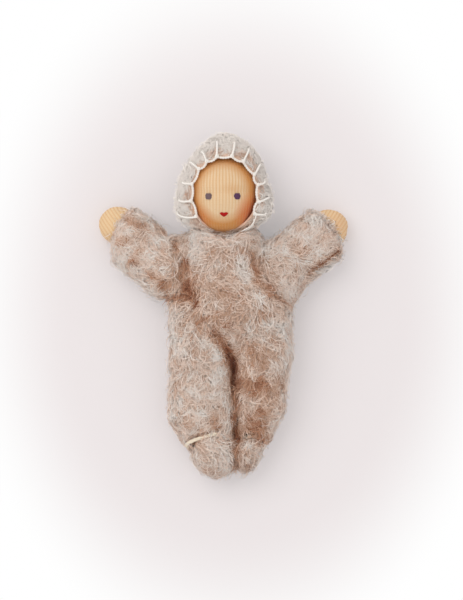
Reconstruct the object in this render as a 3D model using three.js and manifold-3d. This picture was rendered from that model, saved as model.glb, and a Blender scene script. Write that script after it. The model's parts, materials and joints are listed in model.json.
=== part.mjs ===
// A small stuffed baby doll that lies on its back: a plush suit filled with wool, a head and hands of
// knitted jersey over wool, and a plush hood whose edge is worked in blanket stitch.
// Millimetres. +X is the doll's left, +Y its crown, and +Z the way it faces. The origin lies on the
// surface under it, below the middle of the trunk.
import * as THREE from "three";
import { mergeVertices } from "three/addons/utils/BufferGeometryUtils.js";
import Module from "manifold-3d";

const wasm = await Module();
wasm.setup();
const { degToRad, radToDeg, lerp, clamp } = THREE.MathUtils;

// Cloth, thread and fits
const seat = 0.3; // gap between two pieces that touch
const pressed = 0.5; // how far the surface that it lies on flattens each soft form
const plush = 2; // knit backing with its matted pile
const jersey = 0.8; // skin jersey, stretched over the wool
const fullness = 2.3; // power of the sections' superellipse: 2 is an ellipse

// Trunk
const trunkTop = 24.5; // the collar, above the origin, before the head's hollow is cut from it
const trunkBottom = 10.5; // the seat, below the origin
const trunkRound = 6; // how far the rounding runs in from either end
const seatWidth = 33;
const seatDepth = 20;
const bellyShift = 0.3; // the middle of the belly against the origin
const bellyAt = 0;
const bellyWidth = 35.6;
const bellyDepth = 21.6;
const chestShift = -1.6; // the doll leans a little to its right
const chestAt = 12;
const chestWidth = 24;
const chestDepth = 18.4;
const collarWidth = 22;
const collarDepth = 18;

// Shoulders: each arm's root is a barrel that turns in a hollow of the trunk
const shoulderBarrel = 7.4; // radius
const shoulderBarrelHalf = 9.6; // half of its length, along the trunk
const shoulderReach = 16; // from the middle of the chest to the barrel's axis
const rightShoulderAt = 11.1;
const leftShoulderAt = 9.9;

// Arms
const rightArmRise = 38; // degrees above straight out
const leftArmRise = 38;
const armRoot = 4; // how far the arm reaches back past its barrel's axis
const sleeveLength = 18.4;
const armWidth = 18;
const armDepth = 14.2;
const armSwell = 13; // where along the sleeve it starts to taper
const cuffWidth = 14;
const cuffDepth = 12.2;

// Hands
const handLength = 6.8; // what shows past the cuff
const handWidth = 11;
const handDepth = 9.8;
const handSwell = 2.4; // from the cuff to where the hand is full
const handHeel = 2.2; // how far its full heel reaches back into the cuff
const handRound = 5;
const wristRadius = 2.2; // gathered by its thread
const wristLength = 6; // how far the wrist reaches back into the sleeve

// Hips: each leg's root is a barrel too, lying across the trunk
const hipBarrel = 9; // radius
const hipAt = -14;
const hipRoot = 6; // how far the leg reaches back past its barrel's axis
const legPart = 1.7; // how far the gap between the legs is off the middle
const legGap = 0.6;
const swingRoom = 62; // degrees that the fold at the belly leaves for a leg to swing forwards

// Legs, whose inner sides run straight down the gap between them: toward is the side that the gap is on
const thighDepth = 17.4;
const calf = 9; // the middle of the shin to the ankle
const shinDepth = 16;
const ankleDepth = 13.4;
const instep = 5; // the ankle to the highest of the foot
const footDepth = 15;
const footRound = 7; // rounding of the toe
const rightLeg = {
  thigh: 18.6,
  shin: 18.4,
  ankle: 15.4,
  foot: 13.4,
  length: 35.9, // hip to toe
  toe: 11.9, // ankle to toe
  tilt: 16, // degrees that the ankle's binding is turned
  toward: 1,
};
const leftLeg = {
  thigh: 16.2,
  shin: 15.4,
  ankle: 12,
  foot: 10,
  length: 34.2,
  toe: 10.2,
  tilt: -10,
  toward: -1,
};
const bindingRadius = 0.55; // thread round the ankle

// Head and neck
const headShift = -1.8;
const headAt = 33.3;
const headWidth = 22;
const headHeight = 24;
const headDepth = 22.4;
const neckTilt = 10; // degrees that the neck rises from the trunk to the head
const neckRadius = 3.8;
const neckTieRadius = 3.2; // the neck where the thread gathers it
const neckLength = 6.4; // from the chin into the trunk
const neckOpening = 2.4; // radius of the jersey's hole into the neck
const nod = 12; // degrees that the hood's hole leaves each way for the neck
const tieThread = 0.4; // radius of the thread that ties the neck and the wrists
const gather = 0.9; // how far along the gathered place runs each way

// Hood
const hoodPlush = 1.6; // stretched over the head, so thinner than the suit's
const hoodEase = 0.9; // how far its outside stands off the head where that is largest
const hoodPoint = 3.6; // how far its top is drawn up to a peak
const openingWidth = 17.8;
const openingHeight = 20;
const openingTilt = 8; // degrees that the opening looks down from straight ahead

// Blanket stitch round the opening
const stitches = 13;
const stitchLength = 3.3;
const stitchThread = 0.3; // radius
const stitchSpan = 290; // degrees of the opening that it goes round, over the top

// Face
const eyeSize = 1.8;
const rightEyeAt = -4.1; // across, from the middle of the head
const leftEyeAt = 4.2;
const eyeDrop = 1.5; // below the middle of the head
const mouthWidth = 2.8;
const mouthHeight = 1.6;
const mouthDrop = 6.6;
const satin = 0.6; // how far the satin stitches stand off the skin

// Facets: how many sides round each form and steps along it, on an outer face and on a hidden one
const outer = { sides: 20, steps: 11, barrelSteps: 9 };
const hidden = { sides: 14, steps: 8, barrelSteps: 7 };

const hoodRadius = Math.max(headWidth, headHeight, headDepth) / 2 + hoodEase; // all round but for its peak
const hoodPeak = hoodRadius + hoodPoint; // from the middle of the head
const headUp = hoodRadius - pressed;
const shoulderUp = shoulderBarrel - pressed;
const hipUp = hipBarrel - pressed;
const rightShoulder = [chestShift - shoulderReach, rightShoulderAt, shoulderUp];
const leftShoulder = [chestShift + shoulderReach, leftShoulderAt, shoulderUp];
const rightHip = [legPart - (legGap + rightLeg.thigh) / 2, hipAt, hipUp];
const leftHip = [legPart + (legGap + leftLeg.thigh) / 2, hipAt, hipUp];
const headMiddle = [headShift, headAt, headUp];
const tieReach = seat + 2 * tieThread; // from a tied surface to the outside of its thread
const neckHole = Math.max(neckRadius, neckTieRadius + tieReach) + seat;
const neckTieAt = hoodRadius + seat + plush / 2; // below the middle of the head, within the collar
const neckEnd = headHeight / 2 + neckLength;

// A closed geometry as a solid, with its shared corners merged.
function solidOf(geometry) {
  geometry.deleteAttribute("normal");
  geometry.deleteAttribute("uv");
  const merged = mergeVertices(geometry, 1e-4);
  const vertProperties = merged.attributes.position.array;
  const triVerts = new Uint32Array(merged.index.array);
  return new wasm.Manifold(new wasm.Mesh({ numProp: 3, vertProperties, triVerts }));
}

// A solid as the geometry of a mesh.
function geometryOf(solid) {
  const made = solid.getMesh();
  const geometry = new THREE.BufferGeometry();
  geometry.setAttribute("position", new THREE.BufferAttribute(made.vertProperties, 3));
  geometry.setIndex(new THREE.BufferAttribute(made.triVerts, 1));
  return geometry;
}

// One column of the stations at a place along the form, eased between the two on either side.
function between(stations, at, column) {
  const next = stations.findIndex((station) => station.at >= at);
  const upper = clamp(next < 0 ? stations.length - 1 : next, 1, stations.length - 1);
  const [a, b] = [stations[upper - 1], stations[upper]];
  const part = clamp((at - a.at) / (b.at - a.at), 0, 1);
  return lerp(a[column], b[column], part * part * (3 - 2 * part));
}

// A station of a stuffed form that lies on the surface: its place along the form, its middle across, its
// full sizes, and the height of its middle.
function lying(at, side, wide, deep) {
  return { at, side, wide, deep, mid: deep / 2 - pressed };
}

// The facets of a form that is drawn in by inset.
function facets(inset) {
  return inset > 0 ? hidden : outer;
}

// The cosine or sine of an angle round a superellipse.
function bulge(value) {
  return Math.sign(value) * Math.abs(value) ** (2 / fullness);
}

// Where the rings of a form lie: one on each inner station, and the rest closer together near the ends.
function ringPlaces(stations, start, end, count) {
  const own = stations.slice(1, -1).map((station) => station.at).filter((at) => at > start && at < end);
  const spread = Array.from({ length: count + 1 }, (_, k) => Math.cos((Math.PI * k) / count));
  const places = spread.map((cosine) => (start + end - cosine * (end - start)) / 2);
  const clear = (at) => own.every((other) => Math.abs(other - at) > seat);
  const kept = places.filter((at, k) => k % count === 0 || clear(at));
  return [...kept, ...own].sort((a, b) => a - b);
}

// A stuffed form along Y: superelliptic rings through its stations, round at both ends. up is the height
// of the form's own origin above the surface, and inset draws the whole form in.
function stuffed(stations, { round, up, inset }) {
  const { sides, steps } = facets(inset);
  const start = stations[0].at + inset;
  const end = stations[stations.length - 1].at - inset;
  const places = ringPlaces(stations, start, end, steps);
  const rings = places.length - 1;
  const points = [];
  places.forEach((at, k) => {
    const [first, last] = [(at - start) / (round[0] - inset), (end - at) / (round[1] - inset)];
    const full = [first, last].reduce((whole, run) => whole * Math.sqrt(1 - (1 - clamp(run, 0, 1)) ** 2), 1);
    const [wide, deep] = ["wide", "deep"].map((size) => (between(stations, at, size) / 2 - inset) * full);
    const [side, mid] = ["side", "mid"].map((middle) => between(stations, at, middle));
    for (let j = 0; j < (k % rings === 0 ? 1 : sides); j++) {
      const angle = (2 * Math.PI * j) / sides;
      points.push(side + wide * bulge(Math.cos(angle)), at, mid - up + deep * bulge(Math.sin(angle)));
    }
  });
  const corner = (k, j) => (k === 0 ? 0 : 1 + (k - 1) * sides + (k === rings ? 0 : j % sides));
  const corners = [];
  for (let k = 0; k < rings; k++) {
    for (let j = 0; j < sides; j++) {
      if (k > 0) corners.push(corner(k, j), corner(k + 1, j), corner(k, j + 1));
      if (k < rings - 1) corners.push(corner(k, j + 1), corner(k + 1, j), corner(k + 1, j + 1));
    }
  }
  return indexed(points, corners);
}

// A geometry of points and the corners of its triangles.
function indexed(points, corners) {
  const geometry = new THREE.BufferGeometry();
  geometry.setAttribute("position", new THREE.Float32BufferAttribute(points, 3));
  geometry.setIndex(corners);
  return geometry;
}

// A barrel about Y: a round superellipse of the given radius and half length.
function barrel(radius, half, { sides, barrelSteps }) {
  const profile = [];
  for (let k = 0; k <= barrelSteps; k++) {
    const angle = (Math.PI * k) / barrelSteps - Math.PI / 2;
    const out = k % barrelSteps === 0 ? 0 : bulge(Math.cos(angle));
    const along = bulge(Math.sin(angle));
    profile.push(new THREE.Vector2(radius * out, half * along));
  }
  return new THREE.LatheGeometry(profile, sides);
}

// The hollow in which a barrel turns, inside a trunk that is drawn in by inset.
function socket(radius, half, inset) {
  return barrel(radius + inset + seat, half + inset + seat, facets(inset));
}

// Everything beyond a plane through a point, as a large box: the plane's outward side starts along +Y and
// is turned about X and then about Z.
function beyond(point, turnX = 0, turnZ = 0) {
  const size = 4 * (trunkTop + trunkBottom);
  const box = new THREE.BoxGeometry(size, size, size).translate(0, size / 2, 0);
  return solidOf(box.rotateX(degToRad(turnX)).rotateZ(degToRad(turnZ)).translate(...point));
}

// Everything under the surface that the doll lies on, for an origin that is up above it.
function under(up, inset = 0) {
  return beyond([0, 0, inset - up], -90);
}

// A closed loop of thread in the plane across Y, where place gives X and Z at each angle.
function loopOfThread(place, radius, steps = 24, sides = 5) {
  const points = [];
  const corners = [];
  for (let k = 0; k < steps; k++) {
    const [x, z] = place((2 * Math.PI * k) / steps);
    const reach = Math.hypot(x, z);
    for (let j = 0; j < sides; j++) {
      const turn = (2 * Math.PI * j) / sides;
      const out = 1 + (radius * Math.cos(turn)) / reach;
      points.push(x * out, radius * Math.sin(turn), z * out);
      const [a, b] = [k * sides + j, k * sides + ((j + 1) % sides)];
      const [c, d] = [a, b].map((corner) => (corner + sides) % (steps * sides));
      corners.push(a, b, c, b, d, c);
    }
  }
  return indexed(points, corners);
}

// A length of thread along a smooth curve through the points.
function thread(points, radius, steps, sides = 4) {
  const section = new THREE.Shape();
  for (let j = 0; j < sides; j++) {
    const turn = (2 * Math.PI * j) / sides;
    section[j ? "lineTo" : "moveTo"](radius * Math.cos(turn), radius * Math.sin(turn));
  }
  section.closePath();
  const extrudePath = new THREE.CatmullRomCurve3(points);
  return new THREE.ExtrudeGeometry(section, { steps, bevelEnabled: false, extrudePath });
}

// A round hole down the neck, from the middle of the head to the given distance below it.
function neckBore(radius, to) {
  const hole = new THREE.CylinderGeometry(radius, radius, to, hidden.sides);
  return hole.translate(0, -to / 2, 0).rotateX(degToRad(neckTilt));
}

// The trunk, with the hollows for the four limbs and the head, and the fold that the legs swing up into.
function trunk(inset) {
  const stations = [
    lying(-trunkBottom, bellyShift, seatWidth, seatDepth),
    lying(bellyAt, bellyShift, bellyWidth, bellyDepth),
    lying(chestAt, chestShift, chestWidth, chestDepth),
    lying(trunkTop, chestShift, collarWidth, collarDepth),
  ];
  const round = [trunkRound, trunkRound];
  const form = solidOf(stuffed(stations, { round, up: 0, inset }));
  const off = seat + inset;
  const fold = radToDeg(Math.asin((thighDepth - pressed - hipUp) / hipBarrel)) + swingRoom;
  const foldPoint = [0, hipAt + off * Math.sin(degToRad(fold)), hipUp + off * Math.cos(degToRad(fold))];
  const cuts = [
    solidOf(socket(shoulderBarrel, shoulderBarrelHalf, inset).translate(...rightShoulder)),
    solidOf(socket(shoulderBarrel, shoulderBarrelHalf, inset).translate(...leftShoulder)),
    solidOf(socket(hipBarrel, rightLeg.thigh / 2, inset).rotateZ(Math.PI / 2).translate(...rightHip)),
    solidOf(socket(hipBarrel, leftLeg.thigh / 2, inset).rotateZ(Math.PI / 2).translate(...leftHip)),
    solidOf(new THREE.SphereGeometry(hoodRadius + off, outer.sides, outer.steps).translate(...headMiddle)),
    beyond(foldPoint, 270 - fold),
    under(0, inset),
  ];
  return cuts.reduce((solid, cut) => solid.subtract(cut), form);
}

// An arm along +Y from its shoulder, where turn is the angle of the sleeve against the barrel's axis.
function arm(turn, inset) {
  const stations = [
    lying(-armRoot, 0, armWidth, armDepth),
    lying(armSwell, 0, armWidth, armDepth),
    lying(sleeveLength, 0, cuffWidth, cuffDepth),
    lying(sleeveLength + handLength, 0, cuffWidth, cuffDepth),
  ];
  const sleeve = stuffed(stations, { round: [armRoot, armRoot], up: shoulderUp, inset });
  const root = barrel(shoulderBarrel - inset, shoulderBarrelHalf - inset, facets(inset));
  root.rotateZ(degToRad(-turn));
  return solidOf(sleeve).add(solidOf(root)).subtract(under(shoulderUp, inset));
}

// A hand past the sleeve's cuff, with the wrist that reaches back into the sleeve.
function hand(inset) {
  const inCuff = (at, wide, deep) => ({ ...lying(at, 0, cuffWidth, cuffDepth), wide, deep });
  const [open, heel] = [wristLength + 2 * jersey, handHeel + wristRadius].map((back) => sleeveLength - back);
  const heelWidth = cuffWidth - 2 * (plush + seat);
  const heelDepth = cuffDepth - 2 * (plush + seat + pressed);
  const stations = [
    inCuff(open, 2 * wristRadius, 2 * wristRadius),
    inCuff(heel, 2 * wristRadius, 2 * wristRadius),
    inCuff(sleeveLength - handHeel / 2, heelWidth, heelDepth),
    inCuff(sleeveLength, heelWidth, heelDepth),
    lying(sleeveLength + handSwell, 0, handWidth, handDepth),
    lying(sleeveLength + handLength, 0, handWidth, handDepth),
  ];
  const form = stuffed(stations, { round: [2 * jersey, handRound], up: shoulderUp, inset });
  const end = beyond([0, sleeveLength - wristLength, 0], 180);
  return solidOf(form).subtract(under(shoulderUp, inset)).subtract(end);
}

// How far the middle of a leg lies from its hip's where it is that wide.
function inward(sizes, wide) {
  return (sizes.toward * (sizes.thigh - wide)) / 2;
}

// A leg along -Y from its hip to its toe, drawn in at the ankle.
function leg(sizes, inset) {
  const ring = (at, wide, deep) => lying(at, inward(sizes, wide), wide, deep);
  const ankleAt = sizes.toe - sizes.length;
  const stations = [
    ring(-sizes.length, sizes.foot, footDepth),
    ring(ankleAt - instep, sizes.foot, footDepth),
    ring(ankleAt, sizes.ankle, ankleDepth),
    ring(ankleAt + calf, sizes.shin, shinDepth),
    ring(0, sizes.thigh, thighDepth),
    ring(hipRoot, sizes.thigh, thighDepth),
  ];
  const form = stuffed(stations, { round: [footRound, hipRoot], up: hipUp, inset });
  const root = barrel(hipBarrel - inset, sizes.thigh / 2 - inset, facets(inset)).rotateZ(Math.PI / 2);
  return solidOf(form).add(solidOf(root)).subtract(under(hipUp, inset));
}

// The head's jersey ball about its own middle.
function head(inset) {
  const { sides, steps } = facets(inset);
  const ball = new THREE.SphereGeometry(1, sides, steps);
  return solidOf(ball.scale(headWidth / 2 - inset, headHeight / 2 - inset, headDepth / 2 - inset));
}

// How far the hood's outside lies from the middle of the head, in a direction of unit length.
function hoodReach(direction) {
  const peak = direction.y > 0 ? hoodPeak : hoodRadius;
  return 1 / Math.hypot(Math.hypot(direction.x, direction.z) / hoodRadius, direction.y / peak);
}

// The hood's outer form about the middle of the head: round below, and drawn up to its peak above.
function hoodForm(inset) {
  const { sides, steps } = facets(inset);
  const ball = new THREE.SphereGeometry(1, sides + 4, steps + 4);
  const at = ball.attributes.position;
  for (let i = 0; i < at.count; i++) {
    const point = new THREE.Vector3().fromBufferAttribute(at, i).normalize();
    point.multiplyScalar(hoodReach(point) - inset);
    at.setXYZ(i, point.x, point.y, point.z);
  }
  return solidOf(ball);
}

// The slopes of the opening's sides, seen from the middle of the head.
const openingSlopes = [openingWidth, openingHeight].map((size) => Math.tan(Math.asin(size / 2 / hoodRadius)));

// The hood: open round the face, with a slot below in which the neck can nod.
function hood() {
  const depth = 2 * hoodPeak;
  const opening = new THREE.ConeGeometry(1, 1, 28).translate(0, -0.5, 0).rotateX(-Math.PI / 2);
  opening.scale(openingSlopes[0] * depth, openingSlopes[1] * depth, depth).rotateX(degToRad(openingTilt));
  const slide = hoodRadius * Math.sin(degToRad(nod));
  const outline = new THREE.Shape().absarc(0, slide, neckRadius + seat, 0, Math.PI);
  outline.absarc(0, -slide, neckRadius + seat, Math.PI, 2 * Math.PI);
  const slot = new THREE.ExtrudeGeometry(outline, { depth: hoodPeak, bevelEnabled: false, curveSegments: 9 });
  slot.rotateX(degToRad(90 + neckTilt));
  const cuts = [hoodForm(hoodPlush + seat), head(-seat), solidOf(opening), solidOf(slot), under(headUp)];
  return cuts.reduce((solid, cut) => solid.subtract(cut), hoodForm(0));
}

// A place on the hood at an angle round the opening, that far out from its edge over the cloth, and with
// room under it for the thread.
function besideOpening(angle, out) {
  const [x, y] = [openingSlopes[0] * Math.cos(angle), openingSlopes[1] * Math.sin(angle)];
  const from = Math.atan(Math.hypot(x, y)) + out / hoodRadius;
  const direction = new THREE.Vector3(x, y, 0).setLength(Math.sin(from)).setZ(Math.cos(from));
  direction.applyAxisAngle(new THREE.Vector3(1, 0, 0), degToRad(openingTilt));
  return direction.multiplyScalar(hoodReach(direction) + seat + stitchThread);
}

// The blanket stitch: a thread along the opening's edge, with a stitch out over the hood at each turn.
function edging() {
  const angleAt = (part) => degToRad(90 + (part - 0.5) * stitchSpan);
  const places = 3 * stitches;
  const along = Array.from({ length: places + 1 }, (_, k) => besideOpening(angleAt(k / places), 0));
  const spurs = Array.from({ length: stitches }, (_, k) => {
    const angle = angleAt((k + 0.5) / stitches);
    return thread([0, 0.5, 1].map((part) => besideOpening(angle, part * stitchLength)), stitchThread, 2);
  });
  const edge = solidOf(thread(along, stitchThread, places));
  return spurs.reduce((solid, spur) => solid.add(solidOf(spur)), edge);
}

// Satin stitches on the face: the column's part of a layer that lies on the skin.
function stitched(column) {
  return head(-seat - satin).subtract(head(-seat)).intersect(solidOf(column));
}

// An eye, at a place across the face.
function eye(across) {
  const column = new THREE.BoxGeometry(eyeSize, eyeSize, headDepth);
  return stitched(column.translate(across, -eyeDrop, headDepth / 2));
}

// The mouth: a small heart without a curve in it.
function mouth() {
  const [w, h] = [mouthWidth / 2, mouthHeight / 2];
  const heart = [[-w, h], [0, h / 2], [w, h], [w / 2, -h / 2], [0, -h], [-w / 2, -h / 2]];
  const outline = new THREE.Shape(heart.map(([x, y]) => new THREE.Vector2(x, y)));
  const column = new THREE.ExtrudeGeometry(outline, { depth: headDepth, bevelEnabled: false });
  return stitched(column.translate(0, -mouthDrop, 0));
}

// The neck, a gathered roll down from the middle of the head, cut to the chin above it.
function neckRoll() {
  const [top, tied, end] = [-headHeight / 4, -neckTieAt, -neckEnd];
  const profile = [
    [0, end],
    [neckTieRadius, end],
    [neckRadius, end + gather],
    [neckRadius, tied - gather],
    [neckTieRadius, tied - gather / 2],
    [neckTieRadius, tied + gather / 2],
    [neckRadius, tied + gather],
    [neckRadius, top],
    [0, top],
  ].map(([x, y]) => new THREE.Vector2(x, y));
  const chin = head(-seat).rotate([-neckTilt, 0, 0]);
  return solidOf(new THREE.LatheGeometry(profile, hidden.sides)).subtract(chin);
}

// A ring of thread that ties a round neck or wrist of the given radius.
function tie(radius) {
  const ring = new THREE.TorusGeometry(radius + seat + tieThread, tieThread, 5, hidden.sides);
  return ring.rotateX(Math.PI / 2);
}

// Materials
const cloth = (color, roughness = 1) => new THREE.MeshStandardMaterial({ color, roughness, metalness: 0 });
const suitPlush = cloth(0xcfbba8);
const skinJersey = cloth(0xe2bd88, 0.9);
const wool = cloth(0xf0e8da);
const whiteThread = cloth(0xf4f0e8, 0.8);
const ankleThread = cloth(0xf0dfc6, 0.8);
const eyeWool = cloth(0x6a598c, 0.8);
const mouthWool = cloth(0xa9211c, 0.8);

// A named mesh of a solid or geometry.
function piece(name, shape, material) {
  const mesh = new THREE.Mesh(shape.isBufferGeometry ? shape : geometryOf(shape), material);
  mesh.name = name;
  return mesh;
}

// A group at a place, turned about Z or X, that holds the pieces.
function placed(middle, pieces, { turnX = 0, turnZ = 0 } = {}) {
  const group = new THREE.Group().add(...pieces);
  group.position.set(...middle);
  group.rotation.set(degToRad(turnX), 0, degToRad(turnZ));
  return group;
}

// The trunk's plush, open at the neck, and the wool that fills it.
function body() {
  const bore = (to) => solidOf(neckBore(neckHole, to).translate(...headMiddle));
  const cover = trunk(0).subtract(trunk(plush)).subtract(bore(neckEnd));
  const filling = trunk(plush + seat).subtract(bore(neckEnd + seat));
  return placed([0, 0, 0], [piece("body_cover", cover, suitPlush), piece("body_wool", filling, wool)]);
}

// The neck and its thread, about the middle of the head.
function neck() {
  const pieces = [
    piece("neck_roll", neckRoll(), skinJersey),
    piece("neck_thread", tie(neckTieRadius).translate(0, -neckTieAt, 0), whiteThread),
  ];
  return placed(headMiddle, pieces, { turnX: neckTilt });
}

// The head with its face, and the hood that is sewn to it.
function hoodedHead() {
  const opening = solidOf(neckBore(neckOpening, headHeight));
  const pieces = [
    piece("head_wool", head(jersey + seat), wool),
    piece("head_jersey", head(0).subtract(head(jersey)).subtract(opening), skinJersey),
    piece("right_eye", eye(rightEyeAt), eyeWool),
    piece("left_eye", eye(leftEyeAt), eyeWool),
    piece("mouth", mouth(), mouthWool),
    piece("hood", hood(), suitPlush),
    piece("hood_edging", edging(), whiteThread),
  ];
  return placed(headMiddle, pieces);
}

// An arm at its shoulder: the plush sleeve with its wool, and the hand that is tied into it.
function armAt(side, shoulder, turn) {
  const cuff = beyond([0, sleeveLength, 0]);
  const wristEnd = beyond([0, sleeveLength - wristLength - seat, 0]);
  const wristUp = cuffDepth / 2 - pressed - shoulderUp;
  const pieces = [
    piece(`${side}_sleeve`, arm(turn, 0).subtract(arm(turn, plush)).subtract(cuff), suitPlush),
    piece(`${side}_arm_wool`, arm(turn, plush + seat).subtract(wristEnd), wool),
    piece(`${side}_hand_jersey`, hand(0).subtract(hand(jersey)), skinJersey),
    piece(`${side}_hand_wool`, hand(jersey + seat), wool),
    piece(
      `${side}_wrist_thread`,
      tie(wristRadius).translate(0, sleeveLength - wristLength + tieReach, wristUp),
      whiteThread,
    ),
  ];
  return placed(shoulder, pieces, { turnZ: turn });
}

// A leg at its hip: the plush above and below the ankle's binding, and the wool that runs through both.
function legAt(side, hip, sizes) {
  const shell = leg(sizes, 0).subtract(leg(sizes, plush));
  const slot = 2 * (bindingRadius + seat);
  const [sin, cos] = [Math.sin(degToRad(sizes.tilt)), Math.cos(degToRad(sizes.tilt))];
  const ankleAt = sizes.toe - sizes.length;
  const ankle = (down) => [inward(sizes, sizes.ankle) + down * sin, ankleAt - down * cos, 0];
  const middle = ankleDepth / 2 - pressed - hipUp;
  const place = (angle) => [
    (sizes.ankle / 2 / cos - bindingRadius) * bulge(Math.cos(angle)),
    Math.max(middle + (ankleDepth / 2 - bindingRadius) * bulge(Math.sin(angle)), bindingRadius - hipUp),
  ];
  const binding = piece(`${side}_ankle_thread`, loopOfThread(place, bindingRadius), ankleThread);
  const pieces = [
    piece(`${side}_leg_cover`, shell.intersect(beyond(ankle(0), 0, sizes.tilt)), suitPlush),
    piece(`${side}_foot_cover`, shell.subtract(beyond(ankle(slot), 0, sizes.tilt)), suitPlush),
    piece(`${side}_leg_wool`, leg(sizes, plush + seat), wool),
    placed(ankle(slot / 2), [binding], { turnZ: sizes.tilt }),
  ];
  return placed(hip, pieces);
}

const doll = new THREE.Group().add(
  body(),
  neck(),
  hoodedHead(),
  armAt("right", rightShoulder, 90 - rightArmRise),
  armAt("left", leftShoulder, leftArmRise - 90),
  legAt("right", rightHip, rightLeg),
  legAt("left", leftHip, leftLeg),
);
export default doll;
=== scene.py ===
"""The finish of a small stuffed baby doll: a plush suit with its pile, a jersey face and hands, embroidered
eyes and mouth, and the white blanket stitch round its hood. Shapes are worked out in millimetres."""
import json
import math

import bpy
import numpy as np
from bpy.props import FloatProperty, FloatVectorProperty, IntProperty, PointerProperty
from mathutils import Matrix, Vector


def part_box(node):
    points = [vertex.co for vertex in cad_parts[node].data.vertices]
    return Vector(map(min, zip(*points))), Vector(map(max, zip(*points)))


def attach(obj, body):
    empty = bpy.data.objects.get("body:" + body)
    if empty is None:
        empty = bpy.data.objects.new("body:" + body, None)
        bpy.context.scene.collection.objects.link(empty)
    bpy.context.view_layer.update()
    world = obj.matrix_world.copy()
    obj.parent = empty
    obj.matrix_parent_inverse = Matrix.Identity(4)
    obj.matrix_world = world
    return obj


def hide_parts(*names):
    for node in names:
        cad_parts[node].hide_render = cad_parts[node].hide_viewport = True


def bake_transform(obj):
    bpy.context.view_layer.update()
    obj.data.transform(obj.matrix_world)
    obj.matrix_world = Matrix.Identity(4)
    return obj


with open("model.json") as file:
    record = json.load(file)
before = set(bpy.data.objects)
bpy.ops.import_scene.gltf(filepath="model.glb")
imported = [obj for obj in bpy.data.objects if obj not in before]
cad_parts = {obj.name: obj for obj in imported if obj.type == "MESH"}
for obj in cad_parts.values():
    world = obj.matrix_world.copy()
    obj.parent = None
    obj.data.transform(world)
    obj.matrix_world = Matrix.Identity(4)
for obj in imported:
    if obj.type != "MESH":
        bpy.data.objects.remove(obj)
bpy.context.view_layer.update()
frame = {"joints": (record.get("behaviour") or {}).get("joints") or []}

bl_info = {
    "name": "Stuffed baby doll",
    "version": (1, 0, 0),
    "blender": (4, 5, 0),
    "location": "3D View > Sidebar > Doll",
    "description": "Makes the plush, jersey, stitches and pile of a small stuffed doll round its CAD frame",
    "category": "Object",
}

MM = 0.001
UP = np.array((0.0, 0.0, 1.0))
POWER = 2.3  # of the superellipse of each section
PRESSED = 0.5  # how far the table flattens each form
FLOOR_GAP = 0.12  # the least height of a fibre above the table
LIFT = 0.02  # of the flattened cloth above the table
SHOWN_HEIGHT = 174.0  # of the view, at the middle of the doll
VIEW_MIDDLE = (0.725, 1.74, 9.0)
JOINTS = {j["name"]: np.array(j["pos_m"]) / MM for j in frame["joints"]}
HEAD = JOINTS["head_nod"]
SIDES = {"right": -1.0, "left": 1.0}

# Stations of each stuffed form: place along it, middle across, width and depth
TRUNK = ((-10.5, 0.3, 33.0, 20.0), (0.0, 0.3, 35.6, 21.6), (12.0, -1.6, 24.0, 18.4), (24.5, -1.6, 22.0, 18.0))
TRUNK_ENDS = (6.0, 6.0)
TRUNK_SPINE = ((0.3, -3.0, 9.0), (-1.6, 13.0, 9.0))
SLEEVE = {
    "right": (
        (-4.0, -0.4, 17.6, 14.2), (9.0, -0.6, 18.0, 14.2), (13.0, -0.3, 17.4, 14.0), (15.8, 0.9, 15.0, 13.4),
        (17.8, 2.0, 12.8, 12.4), (19.8, 3.2, 9.8, 11.0),
    ),
    "left": (
        (-4.0, 0.4, 16.4, 14.2), (6.0, 0.5, 16.2, 14.2), (12.5, 0.2, 17.6, 14.2), (16.0, 0.3, 17.6, 13.8),
        (17.6, 0.9, 16.8, 13.4), (19.0, 1.7, 14.4, 12.6), (20.3, 2.8, 11.4, 11.0),
    ),
}
SLEEVE_ENDS = (4.0, 1.7)
SLEEVE_TURN = {"right": 52.0, "left": -52.0}  # degrees
HAND = ((10.4, 0.0, 5.0, 5.0), (14.2, 0.2, 8.4, 7.4), (19.4, 0.8, 11.2, 9.8), (24.8, 0.9, 10.8, 9.4))
HAND_ENDS = (1.6, 6.0)
SHOULDER_BARREL = (7.4, 9.6)  # radius and half length
HIP_BARREL = 9.0  # radius
LEG_AT = {"right": (-35.9, -29.0, -24.0, -18.5, 0.0, 12.0), "left": (-34.2, -29.0, -24.0, -15.0, 0.0, 12.0)}
LEG_WIDE = {"right": (11.0, 12.8, 16.4, 18.8, 18.6, 18.6), "left": (5.6, 7.6, 10.8, 14.6, 16.0, 16.2)}
LEG_DEEP = (15.0, 15.0, 13.4, 16.0, 17.4, 17.4)
LEG_ENDS = (7.0, 8.0)
ANKLE_AT = -24.0  # place of the ankle's seam along the leg from the hip
LEG_HEIGHT = 8.0  # of the middle of a leg and of its ankle's seam
ANKLE_TILT = {"right": 16.0, "left": -10.0}  # degrees
ANKLE_LEAN = 0.4  # how much further up the leg its seam lies for each millimetre of height
ANKLE_DROP = {"right": 0.6, "left": 0.0}  # how much lower the yarn lies than its CAD node
YARN_SHOWS = (-13.6, -2.8, 7.0)  # least x, greatest x and least height where no pile covers the ankle's yarn
BINDING = 0.55  # radius of the ankle's yarn
HIP_LINE = -9.4  # where the cloth of the trunk meets that of the legs
LEG_SPLIT = 1.7  # between the legs
LAP = 0.5  # of one part's cloth under the next at a seam
FILLING_DEPTH = 3.4  # of the wool inside the suit's outside
FRONT_HEIGHT = 7.5  # where the piles of the front and the back meet
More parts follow.
